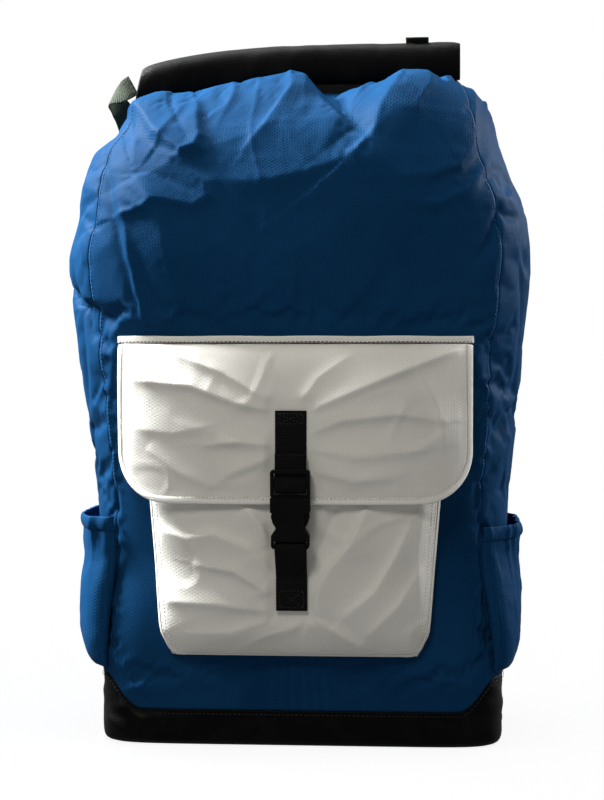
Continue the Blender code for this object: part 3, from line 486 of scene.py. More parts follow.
# Each material: how it is made, its name, its dark and light colours, and its own settings
MATERIAL_TABLE = (
    (ripstop, "blue_ripstop", (0.0018, 0.0185, 0.0530), (0.0060, 0.0410, 0.1120), 0.50, 0.0023, 0.00012,
     0.01, (0.30, 0.60, 1.0, 1.0)),
    (ripstop, "white_ripstop", (0.495, 0.483, 0.440), (0.650, 0.636, 0.590), 0.55, 0.0023, 0.00008,
     0.25, (1.0, 1.0, 1.0, 1.0)),
    (webbing_cloth, "white_tape", (0.62, 0.61, 0.56), (0.86, 0.85, 0.80), 0.75, 0.0010, 0.0002),
    (coated_cloth, "black_coated", (0.0009, 0.0009, 0.0009), (0.0060, 0.0059, 0.0056), 0.50),
    (webbing_cloth, "black_webbing", (0.0008, 0.0008, 0.0008), (0.0065, 0.0065, 0.0063), 0.72),
    (webbing_cloth, "olive_webbing", (0.012, 0.016, 0.010), (0.050, 0.062, 0.043), 0.75),
    (moulded_plastic, "black_plastic", (0.0008, 0.0008, 0.0008), (0.0060, 0.0060, 0.0062), 0.38),
    (moulded_plastic, "frame_plastic", (0.55, 0.55, 0.53), (0.75, 0.75, 0.73), 0.45),
    (spacer_mesh, "black_mesh", (0.003, 0.003, 0.003), (0.026, 0.026, 0.028)),
    (foam, "foam", (0.22, 0.23, 0.24), (0.36, 0.37, 0.38)),
    (thread_material, "pale_thread", (0.45, 0.44, 0.40), (0.80, 0.79, 0.74)),
    (thread_material, "dark_thread", (0.010, 0.010, 0.012), (0.035, 0.035, 0.040)),
    (thread_material, "blue_thread", (0.006, 0.040, 0.10), (0.020, 0.085, 0.20)),
)
MATERIALS = {name: make(name, *settings) for make, name, *settings in MATERIAL_TABLE}


# --- Mesh building ----------------------------------------------------------------------
def piece(name, points, faces, finish, body=None, nodes=(), cloth=None):
    """A smooth-shaded piece with cloth coordinates in metres, riding on a body."""
    points = np.asarray(points, float).reshape(-1, 3)
    mesh = bpy.data.meshes.new(name)
    mesh.from_pydata((points + SHIFT).tolist(), [], faces)
    mesh.materials.append(MATERIALS[finish])
    made = bpy.data.objects.new(name, mesh)
    bpy.context.scene.collection.objects.link(made)
    mesh.shade_smooth()
    if cloth is None:
        cloth = np.stack([points[:, 0] + points[:, 1], points[:, 2], 0 * points[:, 0]], -1)
    store = mesh.attributes.new("cloth", "FLOAT_VECTOR", "POINT")
    store.data.foreach_set("vector", np.asarray(cloth, np.float32).ravel())
    if nodes:
        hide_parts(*nodes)
    if body:
        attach(made, body)
    return made


def grid_normals(grid):
    """Normals of a grid whose columns run right and rows run up, seen from outside."""
    across = np.gradient(grid, axis=1)
    up = np.gradient(grid, axis=0)
    return unit(np.cross(across, up))


def slab(name, outer, thick, finish, body=None, nodes=(), uv=None, coarse=4):
    """A closed sheet under a fine outer grid, with a coarser grid as its inner face."""
    rows, columns = outer.shape[:2]
    inner = (outer - grid_normals(outer) * thick)[::coarse, ::coarse]
    inner_rows, inner_columns = inner.shape[:2]
    base = rows * columns
    index = np.arange(base).reshape(rows, columns)
    quads = np.stack([index[:-1, :-1], index[:-1, 1:], index[1:, 1:], index[1:, :-1]], -1)
    back = base + np.arange(inner_rows * inner_columns).reshape(inner_rows, inner_columns)
    reverse = np.stack([back[:-1, :-1], back[1:, :-1], back[1:, 1:], back[:-1, 1:]], -1)
    faces = quads.reshape(-1, 4).tolist() + reverse.reshape(-1, 4).tolist()
    rims = (
        (index[0][::-1], back[0][::-1]),
        (index[:, -1][::-1], back[:, -1][::-1]),
        (index[-1], back[-1]),
        (index[:, 0], back[:, 0]),
    )
    for fine, rough in rims:
        for k in range(len(rough) - 1):
            strip = fine[k * coarse : (k + 1) * coarse + 1].tolist()
            faces.append(strip + [int(rough[k + 1]), int(rough[k])])
    points = np.concatenate([outer.reshape(-1, 3), inner.reshape(-1, 3)])
    cloth = None
    if uv is not None:
        flat = np.stack([uv[0], uv[1], 0 * uv[0]], -1)
        cloth = np.concatenate([flat.reshape(-1, 3), flat[::coarse, ::coarse].reshape(-1, 3)])
    return piece(name, points, faces, finish, body, nodes, cloth)


def tube(name, rings, finish, body=None, nodes=(), looped=False, cloth=None, capped=True):
    """A solid skinned over closed rings, with flat caps at its two ends."""
    rings = np.asarray(rings, float)
    count, size = rings.shape[:2]
    index = np.arange(count * size).reshape(count, size)
    after = np.roll(index, -1, axis=1)
    lower, upper = (index, np.roll(index, -1, axis=0)) if looped else (index[:-1], index[1:])
    lower_next = after if looped else after[:-1]
    upper_next = np.roll(after, -1, axis=0) if looped else after[1:]
    faces = np.stack([lower, lower_next, upper_next, upper], -1).reshape(-1, 4).tolist()
    if capped and not looped:
        faces += [index[0][::-1].tolist(), index[-1].tolist()]
    made = piece(name, rings.reshape(-1, 3), faces, finish, None, (), cloth)
    turn_outwards(made)
    if nodes:
        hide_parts(*nodes)
    if body:
        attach(made, body)
    return made


def facing_front(count):
    """Normals that all point to the front."""
    return np.tile((0.0, -1.0, 0.0), (count, 1))


def turn_outwards(obj):
    """Turns a closed mesh's faces outwards."""
    mesh = obj.data
    mesh.calc_loop_triangles()
    points = np.array([v.co for v in mesh.vertices])
    corners = points[np.array([t.vertices[:] for t in mesh.loop_triangles])]
    volume = np.einsum("ij,ij->i", corners[:, 0], np.cross(corners[:, 1], corners[:, 2])).sum()
    if volume < 0:
        mesh.flip_normals()


# Half width and half thickness round a strap's section, with its rounded edges
STRAP_SECTION = np.array(
    ((1.0, 0.0), (0.985, 0.62), (0.93, 0.95), (0.55, 1.0), (0.0, 1.0), (-0.55, 1.0), (-0.93, 0.95),
     (-0.985, 0.62), (-1.0, 0.0), (-0.985, -0.62), (-0.93, -0.95), (-0.55, -1.0), (0.0, -1.0),
     (0.55, -1.0), (0.93, -0.95), (0.985, -0.62))
)


def strap(name, points, sides, widths, thick, finish, body=None, nodes=(), steps=6, shape=STRAP_SECTION):
    """A flat strap along points, with rounded edges. Each side is the direction of its width."""
    count = len(points)
    widths = np.broadcast_to(np.asarray(widths, float), (count,))
    thicks = np.broadcast_to(np.asarray(thick, float), (count,))
    rows = np.column_stack([np.array(points, float), np.array(sides, float), widths, thicks])
    path = curve_through(rows, steps)
    along = unit(np.gradient(path[:, :3], axis=0))
    side = path[:, 3:6]
    side = unit(side - along * np.sum(side * along, axis=1, keepdims=True))
    up = np.cross(along, side)
    half = side * path[:, 6:7] / 2
    lift = up * path[:, 7:8] / 2
    rings = path[:, None, :3] + half[:, None] * shape[None, :, :1] + lift[:, None] * shape[None, :, 1:]
    lengths = lengths_along(path[:, :3])
    across = path[:, 6:7] / 2 * shape[None, :, 0]
    cloth = np.stack([across, np.repeat(lengths[:, None], len(shape), axis=1), 0 * across], -1)
    return tube(name, rings, finish, body, nodes, cloth=cloth.reshape(-1, 3))


def even(value, points):
    """The same direction for every point."""
    return [np.array(value, float)] * len(points)


def resample(path, extra, pitch):
    """path, and the rows that go with it, at points an even pitch apart."""
    path, extra = np.asarray(path, float), np.asarray(extra, float)
    lengths = lengths_along(path)
    count = max(int(lengths[-1] / pitch), 1)
    spots = (np.arange(count) + 0.5) * lengths[-1] / count
    placed = [np.interp(spots, lengths, path[:, k]) for k in range(3)]
    turned = [np.interp(spots, lengths, extra[:, k]) for k in range(3)]
    slopes = [np.interp(spots, lengths, np.gradient(path[:, k])) for k in range(3)]
    return np.stack(placed, -1), unit(np.stack(turned, -1)), unit(np.stack(slopes, -1))


# A stitch's outline across, and its stations along with their share of width and height
STITCH_RING = ((0.5, 0.0), (0.3, 0.85), (-0.3, 0.85), (-0.5, 0.0))
STITCH_STATIONS = (
    (-0.5, 0.25, 0.1), (-0.3, 0.9, 0.9), (0.0, 1.0, 1.0), (0.3, 0.9, 0.9), (0.5, 0.25, 0.1)
)
STITCH_WIDTH, STITCH_HEIGHT = 0.00055, 0.00045


def stitches(name, lines, finish, body=None, pitch=0.0032, share=0.68, width=STITCH_WIDTH):
    """Sewn thread: a row of short rounded stitches along each (path, normals)."""
    points, faces = [], []
    last = len(STITCH_STATIONS) - 1
    for path, normals in lines:
        middle, up, along = resample(path, normals, pitch)
        side = unit(np.cross(along, up))
        for m, n, a, s in zip(middle, up, along, side):
            first = len(points)
            for t, wide, high in STITCH_STATIONS:
                here = m + a * pitch * share * t
                for x, y in STITCH_RING:
                    points.append(here + s * width * x * wide + n * STITCH_HEIGHT * (y * high - 0.25))
            for k in range(last):
                for j in range(4):
                    low = first + 4 * k
                    faces.append([low + j, low + (j + 1) % 4, low + 4 + (j + 1) % 4, low + 4 + j])
            faces.append([first + j for j in (3, 2, 1, 0)])
            faces.append([first + 4 * last + j for j in range(4)])
    return piece(name, points, faces, finish, body)


# --- Folds of the filled cloth ----------------------------------------------------------
# Each fold is a path of (round, up) cloth coordinates, its height, and its widths left and right
FOLDS = (
    (((-0.154, 0.588), (-0.109, 0.523), (-0.0835, 0.4975), (-0.072, 0.5015), (-0.069, 0.512),
      (-0.084, 0.560)), 0.0085, 0.030, 0.0055),
    (((-0.150, 0.440), (-0.120, 0.4477), (-0.1124, 0.4544), (-0.0999, 0.4524), (-0.0806, 0.4472),
      (-0.0672, 0.4544), (-0.0688, 0.4665), (-0.0839, 0.4874), (-0.106, 0.504)), 0.0062, 0.024, 0.0055),
    (((-0.066, 0.469), (-0.0498, 0.4707), (-0.0335, 0.466), (-0.0137, 0.468), (0.0159, 0.4745),
      (0.0564, 0.4885)), 0.0050, 0.014, 0.014),
    (((0.0500, 0.484), (0.0713, 0.4998), (0.0818, 0.536), (0.0918, 0.600)), 0.0110, 0.013, 0.055),
    (((-0.0057, 0.605), (0.0018, 0.585), (0.0257, 0.5437), (0.0540, 0.512)), 0.0065, 0.010, 0.040),
    (((0.0209, 0.616), (0.0445, 0.537), (0.0691, 0.5027)), -0.0060, 0.008, 0.008),
    (((-0.0377, 0.610), (-0.0224, 0.467), (-0.0231, 0.342)), 0.0007, 0.0022, 0.0022),
    (((-0.142, 0.575), (-0.128, 0.530), (-0.126, 0.480)), 0.0022, 0.010, 0.0040),
    (((-0.060, 0.600), (-0.052, 0.560), (-0.058, 0.520)), 0.0015, 0.0045, 0.012),
    (((-0.012, 0.600), (-0.004, 0.560), (-0.016, 0.520), (-0.034, 0.495)), 0.0026, 0.012, 0.0035),
    (((0.062, 0.600), (0.058, 0.570), (0.048, 0.545)), 0.0024, 0.0035, 0.010),
    (((0.104, 0.585), (0.112, 0.545), (0.104, 0.515)), 0.0030, 0.0040, 0.014),
    (((-0.090, 0.560), (-0.100, 0.520), (-0.120, 0.490)), 0.0022, 0.0035, 0.010),
    (((0.1020, 0.610), (0.1222, 0.5611)), -0.0060, 0.006, 0.006),
    (((0.1280, 0.608), (0.1240, 0.5611)), 0.0050, 0.006, 0.009),
    (((0.139, 0.608), (0.1557, 0.5237), (0.1542, 0.4941), (0.1388, 0.4771), (0.1113, 0.4676),
      (0.0831, 0.466)), 0.0058, 0.0050, 0.028),
    (((0.0831, 0.466), (0.0904, 0.4488), (0.1144, 0.4462), (0.1453, 0.4591), (0.1703, 0.4841)),
     0.0036, 0.014, 0.0075),
    (((0.0054, 0.3914), (-0.0108, 0.3844), (-0.035, 0.3634), (-0.0484, 0.3494)), 0.0026, 0.006, 0.018),
    (((0.004, 0.392), (-0.004, 0.361), (-0.0133, 0.345)), 0.0022, 0.006, 0.016),
    (((-0.158, 0.513), (-0.149, 0.4426), (-0.135, 0.395), (-0.122, 0.352)), -0.0032, 0.006, 0.006),
    (((-0.1413, 0.446), (-0.1243, 0.3759), (-0.1172, 0.340)), 0.0042, 0.004, 0.012),
    (((-0.124, 0.480), (-0.112, 0.448), (-0.1005, 0.410), (-0.0870, 0.332)), 0.0075, 0.011, 0.050),
    (((-0.234, 0.384), (-0.190, 0.362), (-0.178, 0.335)), -0.0055, 0.009, 0.007),
    (((-0.215, 0.430), (-0.205, 0.385), (-0.196, 0.330), (-0.199, 0.280)), -0.0040, 0.010, 0.006),
    (((-0.185, 0.500), (-0.190, 0.440), (-0.184, 0.400)), 0.0034, 0.012, 0.007),
    (((0.060, 0.430), (0.085, 0.400), (0.092, 0.350)), 0.0018, 0.018, 0.012),
    (((0.176, 0.440), (0.168, 0.390), (0.173, 0.345)), 0.0030, 0.014, 0.008),
    (((0.215, 0.460), (0.206, 0.400), (0.213, 0.350), (0.205, 0.290)), -0.0040, 0.010, 0.007),
    (((0.150, 0.330), (0.166, 0.290), (0.160, 0.230)), 0.0020, 0.008, 0.012),
    (((-0.150, 0.330), (-0.164, 0.280), (-0.158, 0.220)), 0.0022, 0.010, 0.007),
    (((-0.104, 0.080), (-0.128, 0.055), (-0.148, 0.046)), 0.0026, 0.008, 0.005),
    (((-0.118, 0.110), (-0.140, 0.086), (-0.160, 0.078)), 0.0020, 0.010, 0.006),
    (((0.102, 0.078), (0.128, 0.058), (0.146, 0.050)), 0.0024, 0.005, 0.009),
    (((0.030, 0.070), (0.060, 0.045), (0.070, 0.036)), 0.0014, 0.007, 0.010),
)
# How high the cloth crests in front of the roll: x, and height above the rim
CREST = np.array(
    ((-0.156, 0.002), (-0.147, 0.006), (-0.130, 0.010), (-0.114, 0.013), (-0.092, 0.013), (-0.071, 0.016),
     (-0.050, 0.017), (-0.032, 0.0185), (-0.008, 0.0185), (0.006, 0.0150), (0.016, 0.0060),
     (0.024, 0.0025), (0.034, 0.0060), (0.057, 0.0105), (0.083, 0.0140), (0.113, 0.0130),
     (0.126, 0.008), (0.138, 0.002), (0.152, 0.000))
)
CREST_V, CREST_BELOW, CREST_ABOVE = 0.586, 0.075, 0.024
# Soft lobes of the stuffed top: round, up, radii and height
LOBES = (
    (-0.125, 0.570, 0.034, 0.034, 0.0060),
    (0.085, 0.545, 0.050, 0.030, 0.0060),
    (0.110, 0.520, 0.050, 0.040, 0.0080),
    (0.040, 0.420, 0.070, 0.040, 0.0020),
)


# Heights of the random folds: upright ones at the sides, soft swells, sharp creases and crinkles
LONG_FOLDS, SWELLS, SHARP_CREASES, CRINKLES = 0.0016, 0.0006, 0.0007, 0.0003
# Degrees to each side of the front's middle that the front's rules hold for
FRONT_TURN = 80
# Just over the flap's seam. From here up the cloth keeps low, so that the opened flap has room
HINGE_Z = 0.336


def front_mask(x, z):
    """0 where the flap pocket lies on the front, 1 away from it."""
    dx = np.maximum(np.abs(x) - 0.137, 0)
    dz = np.maximum(np.maximum(0.078 - z, z - HINGE_Z), 0)
    return smooth(0.0, 0.016, np.hypot(dx, dz))


def side_mask(u, z):
    """0 under the side pockets, 1 away from them."""
    reach = np.abs(np.abs(u) - 0.262)
    return np.maximum(smooth(0.186, 0.215, z), smooth(0.078, 0.098, reach))


def fold_heights(deg, z):
    """How far the cloth stands off the plain shell at (deg, z)."""
    u, v = cloth_uv(deg, z)
    turn = turn_of(deg)
    total = with_folds(np.zeros(u.shape), u, v, FOLDS)
    for centre_u, centre_v, wide, tall, height in LOBES:
        total += height * np.exp(-(((u - centre_u) / wide) ** 2) - ((v - centre_v) / tall) ** 2)
    bent_u = u + 0.012 * noise(u, v, 0.07, 3)
    upright = 1 - np.abs(noise(bent_u, v * 0.28, 0.020, 5)) * 2.2
    total += LONG_FOLDS * upright * smooth(60, 90, np.abs(turn)) * smooth(0.19, 0.26, z)
    total += SWELLS * noise(bent_u, v, 0.045, 7)
    sharp = 1 - 2.5 * np.abs(noise(bent_u * 0.9 + v * 0.5, v * 0.8 - u * 0.4, 0.034, 11))
    total += SHARP_CREASES * np.maximum(sharp, -0.6)
    total += CRINKLES * noise(bent_u, v, 0.011, 13)
    x = shell(deg, z)[..., 0]
    total += crest_height(x, v, turn)
    total *= np.where(np.abs(turn) < FRONT_TURN, front_mask(x, z), 1.0)
    total *= side_mask(u, z)
    total = np.where(np.abs(turn) < FRONT_TURN, np.minimum(total, hinge_room(x, z)), total)
    aside = 0.45 * smooth(62, 84, np.abs(turn)) * smooth(0.54, 0.47, z)
    total = np.where(total > 0, total * (1 - aside), total)
    behind = smooth(118, 135, np.abs(turn))
    total *= 1 - behind * smooth(0.52, 0.45, z)
    total *= 0.15 + 0.85 * smooth(0.0, 0.018, z - tray_top(deg))
    total *= smooth(0.0, 0.022, RIM_V - v)
    return total


def hinge_room(x, z):
    """The most that the front's cloth may stand out above the flap's seam."""
    room = 0.0002 + 0.04 * np.maximum(z - HINGE_Z, 0) + 0.02 * smooth(0.352, 0.400, z)
    return room + 0.02 * smooth(0.080, 0.130, np.abs(x))


def crest_height(x, v, turn):
    """The puffed cloth in front of the roll, highest along CREST_V."""
    high = np.interp(x, CREST[:, 0], CREST[:, 1]) * smooth(96, 80, np.abs(turn))
    below = smooth(CREST_V - CREST_BELOW, CREST_V, v) ** 1.3
    above = smooth(CREST_V + CREST_ABOVE, CREST_V, v)
    return high * np.where(v < CREST_V, below, above)


# The simulated grid, its frames, and how far a point may move, in all and outwards
SIM_COLUMNS, SIM_ROWS, SIM_FRAMES = 208, 112, 18
SIM_CAP, SIM_PROUD = 0.006, 0.0008
# How much of the slow, wide part of the movement is taken out again, and over how many points
SIM_SLOW, SIM_REACH = 0.85, 6
SIM_SETTINGS = {
    "quality": 5,
    "mass": 0.15,
    "tension_stiffness": 12,
    "compression_stiffness": 12,
    "shear_stiffness": 4,
    "bending_stiffness": 0.25,
    "shrink_min": -0.030,
    "shrink_max": -0.030,
    "use_pressure": True,
    "uniform_pressure_force": 1.5,
    "vertex_group_mass": "held",
    "pin_stiffness": 1.0,
}


def rest_weights(turn, u, v, z, x):
    """1 where the cloth is held by seams, pockets or the harness, 0 where it may buckle."""
    free = np.where(np.abs(turn) < FRONT_TURN, front_mask(x, z), 1.0) * side_mask(u, z)
    free = free * smooth(0.0, 0.030, z - tray_top(turn + 270.0)) * smooth(0.0, 0.050, RIM_V - v)
    free = free * smooth(136, 126, np.abs(turn))
    return 1 - free


def simulate(start, held):
    """Points of a grid round the shell, moved as cloth under pressure where held is below 1."""
    index = np.arange(held.size).reshape(held.shape)
    after = np.roll(index, -1, axis=1)
    faces = np.stack([index[:-1], after[:-1], after[1:], index[1:]], -1).reshape(-1, 4)
    mesh = bpy.data.meshes.new("settling")
    mesh.from_pydata(start.reshape(-1, 3).tolist(), [], faces.tolist())
    cloth_object = bpy.data.objects.new("settling", mesh)
    bpy.context.scene.collection.objects.link(cloth_object)
    group = cloth_object.vertex_groups.new(name="held")
    for k, weight in enumerate(held.ravel().tolist()):
        group.add([k], weight, "REPLACE")
    cloth = cloth_object.modifiers.new("Cloth", "CLOTH")
    for label, value in SIM_SETTINGS.items():
        setattr(cloth.settings, label, value)
    cloth.settings.effector_weights.gravity = 0.0
    cloth.collision_settings.use_collision = False
    cloth.collision_settings.use_self_collision = False
    cloth.point_cache.frame_start = 1
    cloth.point_cache.frame_end = SIM_FRAMES
    for number in range(1, SIM_FRAMES + 1):
        bpy.context.scene.frame_set(number)
    settled = cloth_object.evaluated_get(bpy.context.evaluated_depsgraph_get()).to_mesh()
    points = np.zeros(start.size)
    settled.vertices.foreach_get("co", points)
    cloth_object.to_mesh_clear()
    bpy.data.objects.remove(cloth_object)
    bpy.data.meshes.remove(mesh)
    bpy.context.scene.frame_set(1)
    return points.reshape(start.shape)


def settle_shell():
    """Lets the slack, stuffed cloth buckle under pressure, and returns how far each point moved."""
    turn = arc_angles(90.0, 450.0, SIM_COLUMNS)[:-1]
    bottom = np.interp(tray_top(turn), PROFILE_Z, PROFILE_V)
    v = bottom[None, :] + (RIM_V - bottom[None, :]) * np.linspace(0, 1, SIM_ROWS)[:, None]
    z = np.interp(v, PROFILE_V, PROFILE_Z)
    deg = np.broadcast_to(turn[None, :], z.shape)
    plain = shell(deg, z)
    wrapped = np.concatenate([plain[:, -1:], plain, plain[:, :1]], axis=1)
    normals = grid_normals(wrapped)[:, 1:-1]
    start = plain + normals * fold_heights(deg, z)[..., None]
    u = cloth_uv(deg, z)[0]
    held = rest_weights(turn_of(deg), u, v, z, plain[..., 0])
    moved = simulate(start, held) - start
    moved = moved - SIM_SLOW * blurred(moved, SIM_REACH)
    proud = np.sum(moved * normals, axis=-1, keepdims=True)
    moved = moved - normals * np.maximum(proud - SIM_PROUD, 0) * 0.8
    far = np.linalg.norm(moved, axis=-1, keepdims=True)
    return turn, moved * np.minimum(1.0, SIM_CAP / np.maximum(far, 1e-9)) * (1 - held)[..., None]


def blurred(table, reach):
    """A table's values averaged over a square of neighbours, wrapping round in its columns."""
    for axis in (0, 1):
        padding = [(0, 0)] * table.ndim
        padding[axis] = (reach, reach)
        wide = np.pad(table, padding, mode="wrap" if axis else "edge")
        count = table.shape[axis]
        parts = [np.take(wide, range(k, k + count), axis=axis) for k in range(2 * reach + 1)]
        table = sum(parts) / len(parts)
    return table


def sample(table, y, x):
    """Smooth values of a table that wraps round in x, between its entries."""
    i, j = np.floor(y).astype(int), np.floor(x).astype(int)
    fy, fx = (y - i)[..., None], (x - j)[..., None]
    rows = []
    for a in (-1, 0, 1, 2):
        row = np.clip(i + a, 0, table.shape[0] - 1)
        line = [table[row, (j + b) % table.shape[1]] for b in (-1, 0, 1, 2)]
        rows.append(hermite(*line, fx))
    return hermite(*rows, fy)


SETTLED = [None]


def settled_offsets(deg, v):
    """How far the simulation moved the cloth at (deg, v)."""
    if SETTLED[0] is None:
        SETTLED[0] = settle_shell()
    turn, moved = SETTLED[0]
    around = (deg - 90.0) % 360.0 + 90.0
    x = np.interp(around, np.append(turn, 450.0), np.arange(len(turn) + 1))
    bottom = np.interp(tray_top(deg), PROFILE_Z, PROFILE_V)
    y = np.clip((v - bottom) / (RIM_V - bottom), 0, 1) * (SIM_ROWS - 1)
    return sample(moved, y, x)


GROOVE_REACH, GROOVE_DEPTH = 0.0016, 0.0004


def seam_groove(deg, z):
    """A narrow dip where two panels are sewn together."""
    u = cloth_uv(deg, z)[0]
    dip = np.zeros(u.shape)
    for seam in (-FRONT_SEAM_DEG, BACK_SEAM_DEG, 180 - BACK_SEAM_DEG, 180 + FRONT_SEAM_DEG):
        there = cloth_uv(np.full(u.shape, seam), z)[0]
        dip += np.exp(-(((u - there) / GROOVE_REACH) ** 2))
    return -GROOVE_DEPTH * dip


def cloth_grid(angles, rows):
    """Folded cloth over a range of angles, from the base to the rim, with its cloth coordinates."""
    bottom = np.interp(tray_top(angles) + 0.0005, PROFILE_Z, PROFILE_V)
    share = np.linspace(0, 1, rows + 1)[:, None]
    v = bottom[None, :] + (RIM_V - bottom[None, :]) * share
    z = np.interp(v, PROFILE_V, PROFILE_Z)
    deg = np.broadcast_to(angles[None, :], z.shape)
    plain = shell(deg, z)
    heights = fold_heights(deg, z) + seam_groove(deg, z)
    folded = plain + grid_normals(plain) * heights[..., None]
    return folded + settled_offsets(deg, v), cloth_uv(deg, z)


# Rows up each panel, and the degrees that it stops short of its seams
PANEL_ROWS, PANEL_SPLIT = 288, 0.02
# Panels: name, first and last angle, columns and finish
PANELS = (
    ("side_panel_right", -FRONT_SEAM_DEG, BACK_SEAM_DEG, 88, "blue_ripstop"),
    ("back_panel", BACK_SEAM_DEG, 180 - BACK_SEAM_DEG, 80, "black_coated"),
    ("side_panel_left", 180 - BACK_SEAM_DEG, 180 + FRONT_SEAM_DEG, 88, "blue_ripstop"),
    ("front_panel", 180 + FRONT_SEAM_DEG, 360 - FRONT_SEAM_DEG, 200, "blue_ripstop"),
)


def make_panels():
    """The front, side and back panels, folded and settled."""
    for name, first, last, columns, finish in PANELS:
        angles = arc_angles(first + PANEL_SPLIT, last - PANEL_SPLIT, columns)
        grid, uv = cloth_grid(angles, PANEL_ROWS)
        slab(name + "_cloth", grid, CLOTH, finish, "pack", (name,), uv)


def panel_line(deg, low, high, out, count=160):
    """A line up the folded cloth at one angle, with its outward normals."""
    z = np.linspace(low, high, count)
    angles = deg + np.array((-0.4, 0.0, 0.4))
    turned = np.broadcast_to(angles[None, :], (count, 3))
    heights = np.broadcast_to(z[:, None], (count, 3))
    plain = shell(turned, heights)
    raised = fold_heights(turned, heights) + seam_groove(turned, heights)
    grid = plain + grid_normals(plain) * raised[..., None]
    grid = grid + settled_offsets(turned, np.interp(heights, PROFILE_Z, PROFILE_V))
    normals = grid_normals(grid)[:, 1]
    return grid[:, 1] + normals * out, normals


# Angles of the stitched lines beside the panels' seams
STITCHED_DEG = (
    -FRONT_SEAM_DEG - 1.1, 180 + FRONT_SEAM_DEG + 1.1, BACK_SEAM_DEG - 0.9, 180 - BACK_SEAM_DEG + 0.9
)


def make_seam_stitches():
    lines = [panel_line(deg, 0.21, 0.535, 0.0002) for deg in STITCHED_DEG]
    stitches("panel_seam_stitches", lines, "blue_thread", "pack", pitch=0.0034)


# --- Base tray --------------------------------------------------------------------------
def make_tray():
    """Black base: a creased wall standing on a rounded floor, closed inside."""
    angles = np.linspace(0, 360, 361)[:-1]
    heights = np.concatenate([np.linspace(0, 1, 6)[:-1] ** 1.4 * 0.14, np.linspace(0.14, 1.0, 22)])
    rings, cloth = [], []
    u = cloth_uv(angles, np.full(angles.shape, 0.03))[0]
    for share in (0.12, 0.6, 0.97):
        flat = shell(angles, 0.0) * (share, share, 0.0)
        rings.append(flat)
        cloth.append(np.stack([flat[:, 0], flat[:, 1], 0 * u], -1))
    for t in heights:
        top = tray_top(angles)
        z = top * t
        wrinkle = 0.0011 * noise(u, z * 2.2, 0.018, 21)
        wrinkle = wrinkle + 0.0009 * noise(u + z * 0.9, z * 0.7, 0.033, 23)
        wrinkle = with_folds(wrinkle, u, z, TRAY_FOLDS)
        keep = smooth(0.0, 0.012, z) * (0.25 + 0.75 * smooth(1.0, 0.75, np.full(u.shape, t)))
        low_corner = np.where(z < 0.004, 0.0, 1.0)
        rings.append(shell(angles, z, wrinkle * keep * low_corner - 0.0006 + 0.0008 * keep))
        cloth.append(np.stack([u, z, 0 * u], -1))
    for t in (1.0, 0.5):
        rings.append(shell(angles, 0.004 + (tray_top(angles) - 0.004) * t, -TRAY_WALL))
        cloth.append(np.stack([u, tray_top(angles) * t, 0 * u], -1))
    inside = shell(angles, np.full(angles.shape, 0.006), -2 * TRAY_WALL)
    inside[:, 2] = TRAY_WALL
    rings += [inside, inside * (0.12, 0.12, 1.0)]
    cloth += [np.stack([inside[:, 0], inside[:, 1], 0 * u], -1)] * 2
    cloth = np.array(cloth).reshape(-1, 3)
    tube("base_shell", rings, "black_coated", "pack", ("base_tray",), cloth=cloth)
    make_base_stitches()


def make_base_stitches():
    lines = []
    for first, last in ((0, 180), (180, 360)):
        around = np.linspace(first, last, 260)
        top = tray_top(around)
        path = shell(around, top - 0.0032, 0.0006)
        lines.append((path, shell_normal(shell(around, top - 0.0032))))
    stitches("base_stitches", lines, "dark_thread", "pack", pitch=0.0036)


# Creases of the base: path of (round, up), height, widths left and right
TRAY_FOLDS = (
    (((-0.150, 0.034), (-0.120, 0.018), (-0.085, 0.012)), 0.0030, 0.009, 0.004),
    (((-0.165, 0.026), (-0.140, 0.010)), 0.0025, 0.006, 0.005),
    (((-0.060, 0.024), (-0.020, 0.014), (0.030, 0.016)), 0.0012, 0.006, 0.006),
    (((0.120, 0.030), (0.150, 0.016)), 0.0016, 0.006, 0.005),
)


# --- Roll-top closure -------------------------------------------------------------------
def roll_centre(x):
    """The middle of the roll's section at x."""
    x = np.asarray(x, float)
    return np.stack([x, 0 * x + ROLL_Y, RIM_Z + 0.0009 + GAP + 0.0036 + lean(x) + ROLL_HEIGHT / 2], -1)


# The rolled cloth: its turns, steps in each turn, stations along it, and thickness
ROLL_TURNS, ROLL_STEPS, ROLL_STATIONS, ROLL_CLOTH = 2.25, 44, 150, 0.0017
# Half depth and half height of the innermost turn
ROLL_CORE = (0.0046, 0.0118)
ROLL_CLOTH_LENGTH = 0.19


def roll_line(here, t, swing):
    """The middle of the rolled cloth at one station, as (depth, height) along its spiral."""
    reach = here * np.ones(len(t))
    wobble = 1 + 0.035 * noise(reach, swing * 0.012, 0.030, 31)
    half_y = (ROLL_DEPTH / 2 - ROLL_CLOTH - 0.0004) * (1 - t) + ROLL_CORE[0] * t
    half_z = (ROLL_HEIGHT / 2 - ROLL_CLOTH - 0.0004) * (1 - t) + ROLL_CORE[1] * t
    edge = min(here - ROLL_LEFT_X, ROLL_RIGHT_X - here)
    pinch = 1 - 0.10 * math.exp(-edge / 0.006)
    c, s = np.cos(swing), np.sin(swing)
    y = half_y * np.copysign(np.abs(c) ** 0.78, c) * wobble * pinch
    uneven = 1 + 0.018 * noise(reach, swing * 0.02, 0.045, 33)
    z = half_z * np.copysign(np.abs(s) ** 0.78, s) * uneven * pinch
    crumple = 0.0007 * noise(reach * 0.8, swing * 0.010, 0.014, 35)
    dents = np.maximum(noise(reach + swing * 0.010, swing * 0.012, 0.026, 37), 0)
    crumple += 0.0011 * dents * smooth(0.5, 0.2, t)
    line = np.stack([y, z], -1)
    normal = unit(np.stack([-np.gradient(z), np.gradient(y)], -1))
    normal = normal * np.where(np.sum(normal * line, axis=1, keepdims=True) > 0, 1, -1)
    return line - normal * np.maximum(crumple, 0)[:, None] * 0.8, normal


